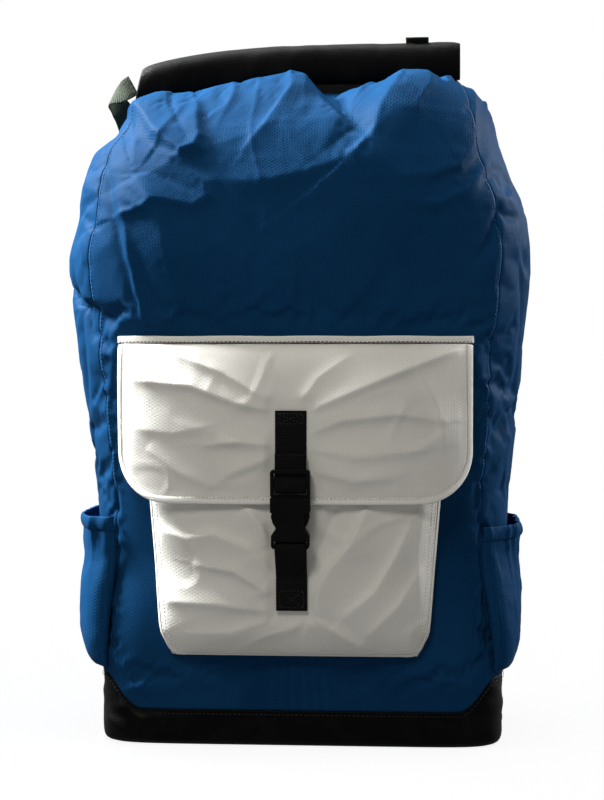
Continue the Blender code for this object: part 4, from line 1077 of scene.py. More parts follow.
def make_roll():
    """The collar rolled down on itself: a flattened spiral of cloth swept along the closure."""
    t = np.linspace(0, 1, int(ROLL_TURNS * ROLL_STEPS) + 1)
    swing = -2.2 - t * ROLL_TURNS * 2 * math.pi
    lengths = t * ROLL_CLOTH_LENGTH
    lengths = np.concatenate([lengths, lengths[::-1]])
    rings, cloth = [], []
    for here in np.linspace(ROLL_LEFT_X + 0.0008, ROLL_RIGHT_X - 0.0008, ROLL_STATIONS):
        line, normal = roll_line(here, t, swing)
        outer, inner = line + normal * ROLL_CLOTH / 2, line - normal * ROLL_CLOTH / 2
        y, z = np.concatenate([outer, inner[::-1]]).T
        centre = roll_centre(here)
        slant = ROLL_SLANT * math.exp(-(here - ROLL_LEFT_X) / 0.020) * (0.5 + z / ROLL_HEIGHT)
        rings.append(np.stack([centre[0] + slant, centre[1] + y, centre[2] + z], -1))
        cloth.append(np.stack([here + 0 * y, lengths, 0 * y], -1))
    roll = tube(
        "rolled_cloth", rings, "black_coated", None, ("rolled_collar",),
        cloth=np.array(cloth).reshape(-1, 3), capped=False,
    )
    close_ends(roll, ROLL_STATIONS, 2 * len(t))
    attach(roll, "roll_top")


def close_ends(obj, stations, size):
    """Closes a swept sheet's two end outlines with quads across its thickness."""
    mesh = obj.data
    points = np.array([v.co[:] for v in mesh.vertices])
    faces = [list(p.vertices) for p in mesh.polygons]
    half = size // 2
    forward = faces[0].index(1) == (faces[0].index(0) + 1) % 4
    caps = []
    for j in range(half - 1):
        near = [j, j + 1, size - 2 - j, size - 1 - j]
        far = [(stations - 1) * size + n for n in near]
        caps.append(near[::-1] if forward else near)
        caps.append(far if forward else far[::-1])
    cloth = np.zeros(len(points) * 3, np.float32)
    mesh.attributes["cloth"].data.foreach_get("vector", cloth)
    fresh = bpy.data.meshes.new(mesh.name)
    fresh.from_pydata(points.tolist(), [], faces + caps)
    fresh.materials.append(mesh.materials[0])
    fresh.attributes.new("cloth", "FLOAT_VECTOR", "POINT").data.foreach_set("vector", cloth)
    fresh.shade_smooth()
    obj.data = fresh


# Between these heights the collar's cloth turns from following the pack to following the roll
SLEEVE_LOW, SLEEVE_HIGH = 0.540, 0.556


def make_sleeve():
    """Cloth from inside the mouth's rim up into the roll, pleated while the roll is down."""
    angles = np.linspace(0, 360, 241)
    rim = shell(angles, RIM_Z)
    deep = shell(angles, RIM_Z - 0.004, -0.0024)
    deep[:, 2] = np.minimum(rim[:, 2] - 0.004, SLEEVE_LOW - 0.0005)
    x = np.clip(rim[:, 0], ROLL_LEFT_X + 0.004, ROLL_RIGHT_X - 0.004)
    y = ROLL_Y + np.sign(rim[:, 1] - ROLL_Y) * np.minimum(np.abs(rim[:, 1] - ROLL_Y), 0.0060)
    top = np.stack([x, y, roll_centre(x)[:, 2] - ROLL_HEIGHT / 2 + 0.0050], -1)
    inside = np.maximum(top[:, 2] + 0.001, SLEEVE_HIGH + 0.0005)
    high = np.stack([x, ROLL_Y + (y - ROLL_Y) * 0.4, inside], -1)
    grid = [deep * (1 - t) + (rim - (0, 0, 0.0015)) * t for t in np.linspace(0, 1, 6)[:-1]]
    for t in np.linspace(0, 1, 9):
        pull = smooth(0, 1, t)
        point = (rim - (0, 0, 0.0015)) * (1 - pull) + top * pull
        point[:, 2] += 0.0006 * np.sin(angles * 0.9 + 5 * t) * math.sin(math.pi * t)
        grid.append(point)
    grid += [top * (1 - t) + high * t for t in np.linspace(0, 1, 7)[1:]]
    grid = np.array(grid)
    uv = cloth_uv(np.broadcast_to(angles, grid.shape[:2]) * 1.0, np.full(grid.shape[:2], RIM_Z))
    lift = np.linspace(0, 0.02, len(grid))[:, None]
    uv = (uv[0], uv[1] + lift)
    sleeve = slab("collar_sleeve", grid, 0.0010, "black_coated", None, ("mouth_collar",), uv, coarse=1)
    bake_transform(sleeve)


# --- Flap pocket ------------------------------------------------------------------------
def pocket_profile(z):
    """How full the pocket is at height z, from 0 at its ends to 1."""
    low = np.clip((z - POCKET_BOTTOM) / 0.045, 0.0, 1.0)
    high = np.clip((FLAP_TOP - z) / 0.095, 0.0, 1.0)
    return np.sqrt(1 - (1 - low) ** 2) * np.sqrt(1 - (1 - high) ** 2)


def fullness(x, half):
    """How full it is across, from 0 at its edges to 1."""
    return np.sqrt(np.maximum(1 - np.minimum(np.abs(x) / half, 1.0) ** 4, 0.0))


def pocket_half(z):
    """The pocket's half width at height z."""
    knee = POCKET_BOTTOM + POCKET_CHAMFER
    widening = POCKET_HALF_LOW - POCKET_HALF_BOTTOM
    cut = POCKET_HALF_BOTTOM + widening * (z - POCKET_BOTTOM) / POCKET_CHAMFER
    straight = POCKET_HALF_LOW + (POCKET_HALF_TOP - POCKET_HALF_LOW) * np.minimum((z - knee) / 0.11, 1.0)
    return np.where(z < knee, cut, straight)


def pocket_inner(x, z):
    return front_y(x, z) - 2 * GAP - POCKET_BULGE * pocket_profile(z) * fullness(x, pocket_half(z))


def flap_inner(x, z):
    rest = 2 * GAP + POCKET_WALL + 0.0008 + 0.0010 * smooth(FLAP_TOP, FLAP_TOP - 0.01, z)
    return front_y(x, z) - rest - POCKET_BULGE * pocket_profile(z) * fullness(x, 0.152)


def flap_half(z):
    """The flap's half width at height z, with its round corners."""
    up = np.minimum(z - FLAP_BOTTOM, FLAP_RADIUS)
    return FLAP_HALF - FLAP_RADIUS + np.sqrt(np.maximum(FLAP_RADIUS**2 - (FLAP_RADIUS - up) ** 2, 0))


# Wrinkles of the pocket and its flap: path of (x, z), height, widths left and right
POCKET_FOLDS = (
    (((0.060, 0.199), (0.047, 0.170), (0.030, 0.151), (0.019, 0.131), (0.014, 0.114)),
     0.0058, 0.018, 0.0040),
    (((0.036, 0.200), (0.026, 0.176), (0.016, 0.158)), -0.0030, 0.006, 0.006),
    (((-0.112, 0.180), (-0.085, 0.174), (-0.063, 0.178), (-0.035, 0.167), (-0.015, 0.150)),
     0.0044, 0.0040, 0.014),
    (((-0.038, 0.200), (-0.024, 0.186), (-0.017, 0.168)), 0.0034, 0.0035, 0.010),
    (((-0.080, 0.153), (-0.046, 0.148), (-0.015, 0.129)), 0.0036, 0.010, 0.0040),
    (((-0.104, 0.122), (-0.060, 0.121), (-0.015, 0.116)), 0.0034, 0.012, 0.0045),
    (((-0.088, 0.096), (-0.050, 0.098), (-0.014, 0.110)), 0.0030, 0.006, 0.012),
    (((0.098, 0.192), (0.083, 0.160), (0.066, 0.132), (0.040, 0.110)), 0.0038, 0.014, 0.0045),
    (((0.104, 0.150), (0.086, 0.122), (0.060, 0.096)), 0.0026, 0.010, 0.0045),
    (((0.014, 0.112), (0.036, 0.099), (0.058, 0.084)), 0.0034, 0.0045, 0.012),
    (((-0.045, 0.083), (-0.020, 0.096), (0.006, 0.104)), 0.0022, 0.008, 0.004),
    (((0.106, 0.200), (0.100, 0.160), (0.103, 0.120)), 0.0018, 0.006, 0.004),
)
FLAP_FOLDS = (
    (((-0.130, 0.301), (-0.080, 0.296), (-0.045, 0.283), (-0.015, 0.277)), 0.0050, 0.013, 0.0045),
    (((0.013, 0.276), (0.045, 0.290), (0.090, 0.309), (0.136, 0.327)), 0.0046, 0.0120, 0.0050),
    (((-0.100, 0.324), (-0.055, 0.307), (-0.016, 0.284)), 0.0024, 0.009, 0.0040),
    (((0.006, 0.282), (0.022, 0.304), (0.050, 0.324)), 0.0022, 0.0040, 0.009),
    (((-0.072, 0.249), (-0.040, 0.252), (-0.014, 0.249)), 0.0036, 0.012, 0.0040),
    (((-0.014, 0.240), (-0.040, 0.230), (-0.058, 0.222)), 0.0032, 0.004, 0.012),
    (((-0.130, 0.262), (-0.095, 0.258), (-0.060, 0.266)), 0.0022, 0.012, 0.005),
    (((0.015, 0.258), (0.040, 0.269), (0.085, 0.274), (0.125, 0.268)), 0.0034, 0.012, 0.0045),
    (((0.015, 0.246), (0.055, 0.240), (0.110, 0.246)), 0.0026, 0.010, 0.0045),
    (((0.016, 0.230), (0.050, 0.221), (0.085, 0.224)), 0.0026, 0.009, 0.004),
    (((-0.062, 0.216), (-0.090, 0.226), (-0.118, 0.246)), 0.0022, 0.004, 0.010),
    (((0.098, 0.312), (0.116, 0.280), (0.122, 0.245)), 0.0024, 0.010, 0.004),
)


def strap_rest(x, beyond):
    """0 under the middle strap, which lies flat on the cloth, 1 away from it or beyond its end."""
    return np.maximum(smooth(0.0125, 0.022, np.abs(x)), smooth(0.002, 0.014, beyond))


def pocket_relief(x, z):
    total = 1.15 * with_folds(np.zeros(x.shape), x, z, POCKET_FOLDS) + 0.0006 * noise(x, z, 0.030, 41)
    total += 0.0006 * np.maximum(1 - 3.4 * np.abs(noise(x + z * 0.4, z - x * 0.3, 0.030, 43)), -0.4)
    near_edge = smooth(0.0, 0.010, pocket_half(z) - np.abs(x))
    near_edge = near_edge * smooth(POCKET_BOTTOM, POCKET_BOTTOM + 0.008, z)
    under_flap = 1 - 0.9 * smooth(0.198, 0.210, z)
    under_strap = np.where(total > 0, strap_rest(x, POCKET_STRAP_END - z), 1.0)
    return total * near_edge * under_flap * under_strap


def flap_relief(x, z):
    total = 1.10 * with_folds(np.zeros(x.shape), x, z, FLAP_FOLDS) + 0.0005 * noise(x, z, 0.032, 47)
    total += 0.0006 * np.maximum(1 - 3.4 * np.abs(noise(x - z * 0.5, z + x * 0.2, 0.032, 49)), -0.4)
    edge = smooth(0.0, 0.008, flap_half(z) - np.abs(x))
    edge = edge * smooth(FLAP_BOTTOM, FLAP_BOTTOM + 0.009, z)
    edge = edge * smooth(FLAP_TOP, FLAP_TOP - 0.006, z)
    total = total * edge * strap_rest(x, z - FLAP_STRAP_TOP)
    return np.maximum(total, -0.0004) + 0.0004


def front_slab(name, half_of, heights, columns, inner_of, relief, thick, finish, body, nodes):
    """A folded sheet on the front, from its half width, inner surface and relief at each height."""
    s = np.linspace(-1, 1, columns + 1)[None, :]
    z = np.broadcast_to(np.asarray(heights)[:, None], (len(heights), columns + 1))
    x = s * half_of(z)
    y = inner_of(x, z) - thick - relief(x, z)
    return slab(name, np.stack([x, y, z], -1), thick, finish, body, nodes, (x, z), coarse=2)


def make_pocket():
    low = POCKET_BOTTOM + POCKET_CHAMFER * np.linspace(0, 1, 17)
    high = np.linspace(POCKET_BOTTOM + POCKET_CHAMFER, POCKET_TOP, 145)[1:]
    front_slab(
        "pocket_pouch", pocket_half, np.concatenate([low, high]), 184, pocket_inner, pocket_relief,
        POCKET_CLOTH, "white_ripstop", "pack", ("pocket_body",),
    )
    make_pocket_binding()


def on_pocket(x, z, out):
    """Points a little out from the pocket's folded face."""
    x, z = np.asarray(x, float), np.asarray(z, float)
    return np.stack([x, pocket_inner(x, z) - POCKET_CLOTH - pocket_relief(x, z) - out, z], -1)


def mirrored_outline(left, bottom):
    """A left side's points (x, z), the points along the bottom, and the right side's."""
    x = np.linspace(left[-1, 0], -left[-1, 0], 60)[1:-1]
    return np.concatenate([left, np.stack([x, np.full(58, bottom)], -1), left[::-1] * (-1, 1)])


def pocket_outline(inset):
    """Points (x, z) down the left side, along the bottom and up the right side of the pouch."""
    z = np.linspace(POCKET_TOP - 0.002, POCKET_BOTTOM + POCKET_CHAMFER, 60)
    z = np.concatenate([z, np.linspace(POCKET_BOTTOM + POCKET_CHAMFER, POCKET_BOTTOM + inset, 10)[1:]])
    left = np.stack([-(pocket_half(z) - inset), z], -1)
    return mirrored_outline(left, POCKET_BOTTOM + inset)


def make_pocket_binding():
    """Felled edge round the pouch, with its two rows of stitches."""
    outline = pocket_outline(0.0012)
    path = on_pocket(outline[:, 0], outline[:, 1], 0.0004)
    sideways = unit(np.gradient(outline, axis=0)) @ np.array(((0, -1), (1, 0)))
    inner = outline - sideways * 0.003
    outwards = np.abs(inner[:, :1]) > np.abs(outline[:, :1]) + 0.001
    inner = np.where(outwards, outline + sideways * 0.003, inner)
    other = on_pocket(inner[:, 0], inner[:, 1], 0.0004)
    sides = unit(other - path)[::3]
    strap("pocket_edge_fell", path[::3], sides, 0.0030, 0.0010, "white_ripstop", "pack", steps=2)
    lines = []
    for inset in (0.0034, 0.0062):
        outline = pocket_outline(inset)
        lines.append((on_pocket(outline[:, 0], outline[:, 1], 0.0001), facing_front(len(outline))))
    stitches("pocket_stitches", lines, "pale_thread", "pack", pitch=0.0030)


def flap_outline(inset):
    """Points (x, z) down the left side, along the bottom and up the right side of the flap."""
    z = np.linspace(FLAP_TOP - 0.001, FLAP_BOTTOM + FLAP_RADIUS, 40)
    turn = np.radians(np.linspace(0, 90, 24))
    reach = FLAP_RADIUS - inset
    corner_x = -(FLAP_HALF - FLAP_RADIUS) - reach * np.cos(turn)
    corner_z = FLAP_BOTTOM + FLAP_RADIUS - reach * np.sin(turn)
    straight = np.stack([np.full(40, -FLAP_HALF + inset), z], -1)
    left = np.concatenate([straight, np.stack([corner_x, corner_z], -1)[1:]])
    return mirrored_outline(left, FLAP_BOTTOM + inset)


def on_flap(x, z, out):
    """Points a little out from the flap's folded face."""
    x, z = np.asarray(x, float), np.asarray(z, float)
    return np.stack([x, flap_inner(x, z) - FLAP_THICK - flap_relief(x, z) - out, z], -1)


def hinge_blend(obj):
    """Bakes the piece's placement into its mesh."""
    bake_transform(obj)


def make_flap():
    arc = FLAP_BOTTOM + FLAP_RADIUS * (1 - np.cos(np.radians(np.linspace(0, 90, 23))))
    high = np.linspace(FLAP_BOTTOM + FLAP_RADIUS, FLAP_TOP, 67)[1:]
    flap = front_slab(
        "flap_cloth", flap_half, np.concatenate([arc, high]), 208, flap_inner, flap_relief,
        FLAP_THICK, "white_ripstop", None, ("pocket_flap",),
    )
    hinge_blend(flap)
    outline = flap_outline(-0.0022)
    path = on_flap(outline[:, 0], outline[:, 1], -0.0006)
    inward = flap_outline(0.0015)
    toward = on_flap(inward[:, 0], inward[:, 1], -0.0006)
    binding = strap(
        "flap_binding", path[::3], unit(path - toward)[::3], 0.0054, 0.0026, "white_tape", None,
        ("flap_edge_binding",), steps=3, shape=BINDING_SECTION,
    )
    hinge_blend(binding)
    line = flap_outline(0.0002)
    rows = [(on_flap(line[:, 0], line[:, 1], 0.0011), facing_front(len(line)))]
    hinge_blend(stitches("flap_stitches", rows, "pale_thread", None, pitch=0.0030))


# A binding's section: rounded at its outer edge, square at its inner one
BINDING_SECTION = np.array(
    ((1.0, 0.0), (0.92, 0.62), (0.70, 0.92), (0.25, 1.0), (-0.45, 0.92), (-1.0, 0.70),
     (-1.0, -0.70), (-0.45, -0.92), (0.25, -1.0), (0.70, -0.92), (0.92, -0.62))
)


def make_flap_tape():
    x = np.linspace(-FLAP_HALF - 0.0052, FLAP_HALF + 0.0052, 71)
    z = FLAP_TOP + GAP + 0.0032 + 0.0002 * np.sin(x * 90)
    path = np.stack([x, front_y(x, z) - GAP - 0.0016, z], -1)
    sides = even((0, 0, 1), path)
    strap("seam_tape", path, sides, 0.0058, 0.0020, "white_tape", "pack", ("flap_seam_tape",), steps=2)
    lines = [(path + (0, -0.0010, -0.0020), facing_front(len(x)))]
    stitches("tape_stitches", lines, "dark_thread", "pack", pitch=0.0034, share=0.8, width=0.0009)


# --- Webbing ----------------------------------------------------------------------------
# Webbing through a ladder buckle and round a bar: (out, up) from the buckle's middle
LADDER_PATH = ((0.0046, 0.0260), (0.0043, 0.0200), (0.0037, 0.0120), (0.0032, 0.0065), (0.0019, 0.0036))
LADDER_PATH += ((0.0000, 0.0032), (-0.0019, 0.0040), (-0.0027, 0.0068), (-0.0027, 0.0108), (-0.0020, 0.0138))
LADDER_PATH += ((-0.0002, 0.0162), (0.0009, 0.0190), (0.0016, 0.0240), (0.0024, 0.0340))
BAR_PATH = ((0.0058, -0.0560), (0.0049, -0.0480), (0.0040, -0.0410), (0.0031, -0.0380), (0.0019, -0.03675))
BAR_PATH += ((0.0000, -0.03655), (-0.0019, -0.03675), (-0.0031, -0.0380), (-0.0036, -0.0405))
BAR_PATH += ((-0.0030, -0.0440), (0.0010, -0.0500))


def in_buckle(place, path, k):
    """A buckle's webbing path, scaled by k and put in its place."""
    return [np.array(place @ Vector((0, y * k, z * k))) for y, z in path]


def side_of(place):
    return np.array(place.to_3x3() @ Vector((1, 0, 0)))


def front_buckle_place():
    y = float(flap_inner(0.0, JOINT_Z + 0.016)) - FLAP_THICK - 0.0064
    return Matrix.Translation((0, y, JOINT_Z)) @ Matrix.Rotation(math.radians(BUCKLE_TILT_DEG), 4, "X")


def box_stitch(centre_of, half_x, z_low, z_high):
    """Lines of a sewn box with its cross, from a function giving a point at (x, z)."""
    corners = ((-half_x, z_low), (half_x, z_low), (half_x, z_high), (-half_x, z_high), (-half_x, z_low))
    runs = list(zip(corners, corners[1:])) + [(corners[0], corners[2]), (corners[1], corners[3])]
    lines = []
    for (x0, z0), (x1, z1) in runs:
        t = np.linspace(0, 1, 12)
        path = np.array([centre_of(x0 + (x1 - x0) * s, z0 + (z1 - z0) * s) for s in t])
        lines.append((path, facing_front(12)))
    return lines


def make_front_straps():
    """The webbing above and below the front buckle, with its sewn ends."""
    place = front_buckle_place()
    lift = GAP + WEB_THICK / 2 + 0.0003
    above = WEB_THICK / 2 + 0.0002

    def on_upper(x, z, out=above):
        return np.array((x, float(flap_inner(0, z)) - FLAP_THICK - lift - out, z))

    def on_lower(x, z, out=above):
        return np.array((x, float(pocket_inner(0, z)) - POCKET_WALL - lift - 0.0004 - out, z))

    upper = [on_upper(0, z, 0.0) for z in (FLAP_STRAP_TOP, 0.270, 0.258, 0.248)]
    upper += in_buckle(place, LADDER_PATH, 1.0)
    lower = in_buckle(place, BAR_PATH, 1.0)
    lower += [on_lower(0, z, 0.0) for z in (0.146, 0.140, 0.130, POCKET_STRAP_END)]
    size = WEB_WIDTH, WEB_THICK, "black_webbing"
    strap("flap_webbing", upper, even((1, 0, 0), upper), *size, "flap", ("flap_strap",))
    strap("pocket_webbing", lower, even((1, 0, 0), lower), *size, "pack", ("pocket_strap",))
    upper_box = box_stitch(on_upper, 0.0095, 0.2665, 0.2745)
    lower_box = box_stitch(on_lower, 0.0095, 0.1195, 0.1330)
    stitches("flap_strap_stitches", upper_box, "dark_thread", "flap", pitch=0.0026)
    stitches("pocket_strap_stitches", lower_box, "dark_thread", "pack", pitch=0.0026)


# --- Side pockets -----------------------------------------------------------------------
def side_fullness(side, deg, z):
    """How far a side pocket stands off the shell, before its folds."""
    middle = 0.0 if side == "right" else 180.0
    front = (deg < middle) == (side == "right")
    s = (deg - middle) / np.where(front, FRONT_SEAM_DEG, BACK_SEAM_DEG)
    low = np.clip((z - SIDE_BOTTOM) / 0.035, 0.0, 1.0)
    neck = 1 - HEM_DRAW[side] * smooth(0.115, SIDE_TOPS[side], z)
    full = np.sqrt(1 - (1 - low) ** 2) * neck * np.sqrt(np.maximum(1 - np.abs(s) ** 4, 0.0))
    return GAP + 0.0008 + SIDE_BULGES[side] * full


def gathers(side, u, z):
    """Folds drawn in by the elastic hem, dying out down the pouch."""
    seed = 61 if side == "left" else 67
    wave = np.abs(noise(u, z * 0.12, 0.0075 if side == "right" else 0.010, seed))
    depth = 0.0030 if side == "right" else 0.0022
    top = SIDE_TOPS[side]
    return depth * (1 - 2.0 * wave) * (0.15 + 0.85 * smooth(top - 0.055, top - 0.012, z))


SIDE_SPANS = (
    ("right", -FRONT_SEAM_DEG, BACK_SEAM_DEG), ("left", 180 - BACK_SEAM_DEG, 180 + FRONT_SEAM_DEG)
)


def make_side_pockets():
    """A gathered pouch, its elastic hem and the hem's stitches on each side."""
    for side, first, last in SIDE_SPANS:
        angles = arc_angles(first, last, 104)
        top = SIDE_TOPS[side]
        hem_low = top - HEM_HEIGHT
        edge = smooth(0.0, 5.0, np.minimum(angles - first, last - angles))[None, :]

        def surface(z, out, extra=0.0):
            deg = np.broadcast_to(angles[None, :], z.shape)
            u, v = cloth_uv(deg, z)
            fold = gathers(side, u, z) + 0.0012 * noise(u, v, 0.026, 71) + 0.0006 * noise(u, v, 0.011, 73)
            fold = np.maximum(fold * edge, -0.0008) * smooth(SIDE_BOTTOM, SIDE_BOTTOM + 0.012, z)
            plain = side_fullness(side, deg, z) + SIDE_WALL
            return shell(deg, z, plain + fold + out + extra), (u, v)

        z = np.broadcast_to(np.linspace(SIDE_BOTTOM, hem_low + 0.0005, 65)[:, None], (65, len(angles)))
        grid, uv = surface(z, 0.0)
        node = f"side_pocket_{side}"
        slab(f"side_pouch_{side}", grid, 0.0010, "blue_ripstop", "pack", (node,), uv, coarse=2)
        t = np.linspace(0, 1, 15)[:, None]
        z = np.broadcast_to(hem_low + HEM_HEIGHT * t, (15, len(angles)))
        roundness = 0.0016 * np.sin(math.pi * t) ** 0.7
        grid, uv = surface(z, 0.0002, np.broadcast_to(roundness, z.shape))
        node = f"side_pocket_hem_{side}"
        slab(f"side_hem_{side}", grid, 0.0016, "blue_ripstop", "pack", (node,), uv, coarse=2)
        heights = np.array((hem_low + 0.0002, hem_low + 0.0012, hem_low + 0.0022))
        grid = surface(np.broadcast_to(heights[:, None], (3, len(angles))), 0.0006)[0]
        lines = [(grid[1], grid_normals(grid)[1])]
        stitches(f"side_hem_stitches_{side}", lines, "blue_thread", "pack", pitch=0.0030)


# --- Harness ----------------------------------------------------------------------------
STRAP_LINE = ((0.060, 0.0945, 0.4880), (0.061, 0.104, 0.4960), (0.064, 0.119, 0.4985), (0.071, 0.137, 0.488))
STRAP_LINE += ((0.080, 0.151, 0.458), (0.088, 0.157, 0.418), (0.094, 0.158, 0.370), (0.098, 0.153, 0.320))
STRAP_LINE += ((0.101, 0.144, 0.270), (0.105, 0.133, 0.225))
STRAP_WIDTHS = (0.046, 0.047, 0.048, 0.052, 0.058, 0.062, 0.062, 0.060, 0.052, 0.040)
STRAP_THICKS = (0.0025, 0.006, 0.010, 0.011, 0.011, 0.011, 0.011, 0.011, 0.011, 0.007)
STRAP_END_DIRECTION = Vector((0.0035, -0.0070, -0.0270)).normalized()
LOCK_DROP = 0.0197
# A padded strap's outline: bound edges, a crowned outer face and a fuller face to the wearer
PAD_SECTION = np.array(
    ((1.0, 0.10), (0.975, 0.34), (0.93, 0.44), (0.90, 0.42), (0.84, 0.66), (0.70, 0.86),
     (0.45, 0.97), (0.15, 1.0), (-0.15, 1.0), (-0.45, 0.97), (-0.70, 0.86), (-0.84, 0.66),
     (-0.90, 0.42), (-0.93, 0.44), (-0.975, 0.34), (-1.0, 0.10), (-0.99, -0.20), (-0.93, -0.42),
     (-0.90, -0.40), (-0.80, -0.74), (-0.55, -0.95), (-0.2, -1.0), (0.2, -1.0), (0.55, -0.95),
     (0.80, -0.74), (0.90, -0.40), (0.93, -0.42), (0.99, -0.20))
)


def mirror_x(points, sign):
    """The points, turned over to the left if sign is -1."""
    return [np.array((p[0] * sign, p[1], p[2])) for p in points]


def strap_end_place(sign):
    up = -STRAP_END_DIRECTION
    across = Vector((1, 0, 0))
    across = (across - up * across.dot(up)).normalized()
    axes = Matrix((across, up.cross(across), up)).transposed().to_4x4()
    place = Matrix.Translation(Vector(STRAP_LINE[-1]) - up * LOCK_DROP) @ axes
    if sign < 0:
        flip = Matrix.Diagonal((-1, 1, 1, 1))
        place = flip @ place @ flip
    return place


def strap_frame(line, steps):
    """Centre, width direction, outward direction, width and thickness along a shoulder strap."""
    rows = np.column_stack([np.array(line), STRAP_WIDTHS, STRAP_THICKS])
    path = curve_through(rows, steps)
    along = unit(np.gradient(path[:, :3], axis=0))
    side = np.array((1.0, 0, 0)) - along * along[:, :1]
    side = unit(side)
    up = np.cross(along, side)
    up = up * np.where(up[len(up) // 2, 1] < 0, -1, 1)
    return path[:, :3], side, up, path[:, 3], path[:, 4]


def make_shoulder_straps():
    """Padded straps with bound edges, webbing, bartacks and adjusters."""
    for side, sign in (("right", 1), ("left", -1)):
        body = f"harness_{side}"
        line = mirror_x(STRAP_LINE, sign)
        pad = strap(
            f"shoulder_pad_{side}", line, even((1, 0, 0), line), STRAP_WIDTHS, STRAP_THICKS, "black_mesh",
            body, (f"shoulder_strap_{side}",), steps=10, shape=PAD_SECTION,
        )
        centre, across, up, width, thick = strap_frame(line, 10)
        for edge in (1, -1):
            path = centre + across * (width / 2 * edge)[:, None] * 0.985
            sides = list(across[3:-1:5] * edge)
            deep = np.minimum(0.0046, thick[3:-1:5] * 0.75)
            strap(
                f"pad_binding_{side}_{'outer' if edge == sign else 'inner'}", path[3:-1:5], sides,
                0.0046, deep, "black_webbing", body, steps=4, shape=BINDING_SECTION,
            )
        lines = []
        for edge in (0.84, -0.84):
            path = centre + across * (width / 2 * edge)[:, None] + up * (thick / 2 * 0.70)[:, None]
            lines.append((path[14:-4], up[14:-4]))
        stitches(f"pad_stitches_{side}", lines, "dark_thread", body, pitch=0.0036)
        top = centre + up * (thick / 2 + 0.0009)[:, None]
        spots, sides = top[26:-3:6], list(across[26:-3:6])
        strap(f"pad_webbing_{side}", spots, sides, 0.020, 0.0013, "black_webbing", body, steps=4)
        tacks = []
        for spot in range(30, len(centre) - 6, 12):
            reach = across[spot] * np.linspace(-0.0085, 0.0085, 8)[:, None]
            tacks.append((top[spot] + up[spot] * 0.0008 + reach, np.tile(up[spot], (8, 1))))
        stitches(f"pad_bartacks_{side}", tacks, "dark_thread", body, pitch=0.0016, share=0.9, width=0.0010)
        make_strap_adjuster(side, sign)


def make_strap_adjuster(side, sign):
    place = strap_end_place(sign)
    width, thick = WEB_WIDTH * SMALL, WEB_THICK * SMALL
    loop = [(-0.0012, 0.0188), (-0.0036, 0.0150), (-0.0043, 0.0110), (-0.0040, 0.0064), (-0.0018, 0.0043)]
    loop += [(0.0018, 0.0043), (0.0040, 0.0064), (0.0043, 0.0110), (0.0036, 0.0150), (0.0012, 0.0188)]
    points = [np.array(place @ Vector((0, y, z))) for y, z in loop]
    sides = even(side_of(place), points)
    body, node = f"harness_{side}", f"ladder_loop_{side}"
    strap(f"lock_loop_{side}", points, sides, width, thick, "black_webbing", body, (node,))
    through = [(0.0110, -0.0450), (0.0085, -0.0300), (0.0060, -0.0150), (0.0045, -0.0060), (0.0036, -0.0020)]
    through += [(0.0034, 0.0002), (0.0017, 0.0015), (-0.0017, 0.0015), (-0.0034, 0.0002), (-0.0036, -0.0020)]
    through += [(-0.0037, -0.0050), (-0.0047, -0.0100)]
    points = [np.array(place @ Vector((0, y, z))) for y, z in through]
    sides = even(side_of(place), points)
    points += mirror_x([(0.1150, 0.1215, 0.160), (0.1240, 0.1140, 0.130), (0.1325, 0.1050, 0.104)], sign)
    slant = (sign * 0.92, -0.1, 0.38)
    sides += [np.array((sign, 0, 0.15)), np.array(slant), np.array(slant)]
    node = f"adjuster_webbing_{side}"
    made = strap(f"adjuster_{side}", points, sides, width, thick, "black_webbing", None, (node,))
    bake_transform(made)
    make_wing(side, sign)


# Share of the way that the wing's stitches stand in from its edges
WING_INSET = 0.10


def make_wing(side, sign):
    """The three-cornered cloth tab that holds an adjuster's webbing at the pack's foot."""
    deg = BACK_SEAM_DEG + 1.5 if sign > 0 else 180 - BACK_SEAM_DEG - 1.5
    low, high = shell(deg, 0.068, 0.0012), shell(deg, 0.114, 0.0012)
    tip = np.array((sign * 0.1337, 0.1037, 0.1012))
    out = unit(np.cross(high - low, tip - low))
    out = out if out[1] > 0 else -out
    along_tip = np.array((sign * 0.0098, -0.0011, 0.0040))
    along_tip = along_tip - out * (along_tip @ out)
    left = [low + (tip - along_tip - low) * t for t in np.linspace(0, 1, 13)]
    right = [high + (tip + along_tip - high) * t for t in np.linspace(0, 1, 13)]
    outward = np.cross(right[0] - left[0], left[-1] - left[0]) @ out > 0
    grid = np.array([[a + (b - a) * s for s in np.linspace(0, 1, 13)] for a, b in zip(left, right)])
    grid = (grid if outward else grid[:, ::-1]) + out * 0.0020
    soft = 0.0004 * noise(grid[..., 0], grid[..., 2], 0.012, 81)
    grid = grid - out * np.abs(soft)[..., None]
    slab(f"wing_{side}", grid, 0.0018, "black_coated", "pack", (f"strap_wing_{side}",), coarse=1)
    lines = []
    middle = (low + high) / 2 * 0.5 + tip * 0.5
    for a, b in ((low, tip - along_tip), (high, tip + along_tip)):
        edge = [a + (b - a) * t for t in np.linspace(0.02, 0.96, 20)]
        path = np.array([point * (1 - WING_INSET) + middle * WING_INSET for point in edge])
        lines.append((path + out * 0.0021, np.tile(out, (20, 1))))
    stitches(f"wing_stitches_{side}", lines, "dark_thread", "pack", pitch=0.0030)


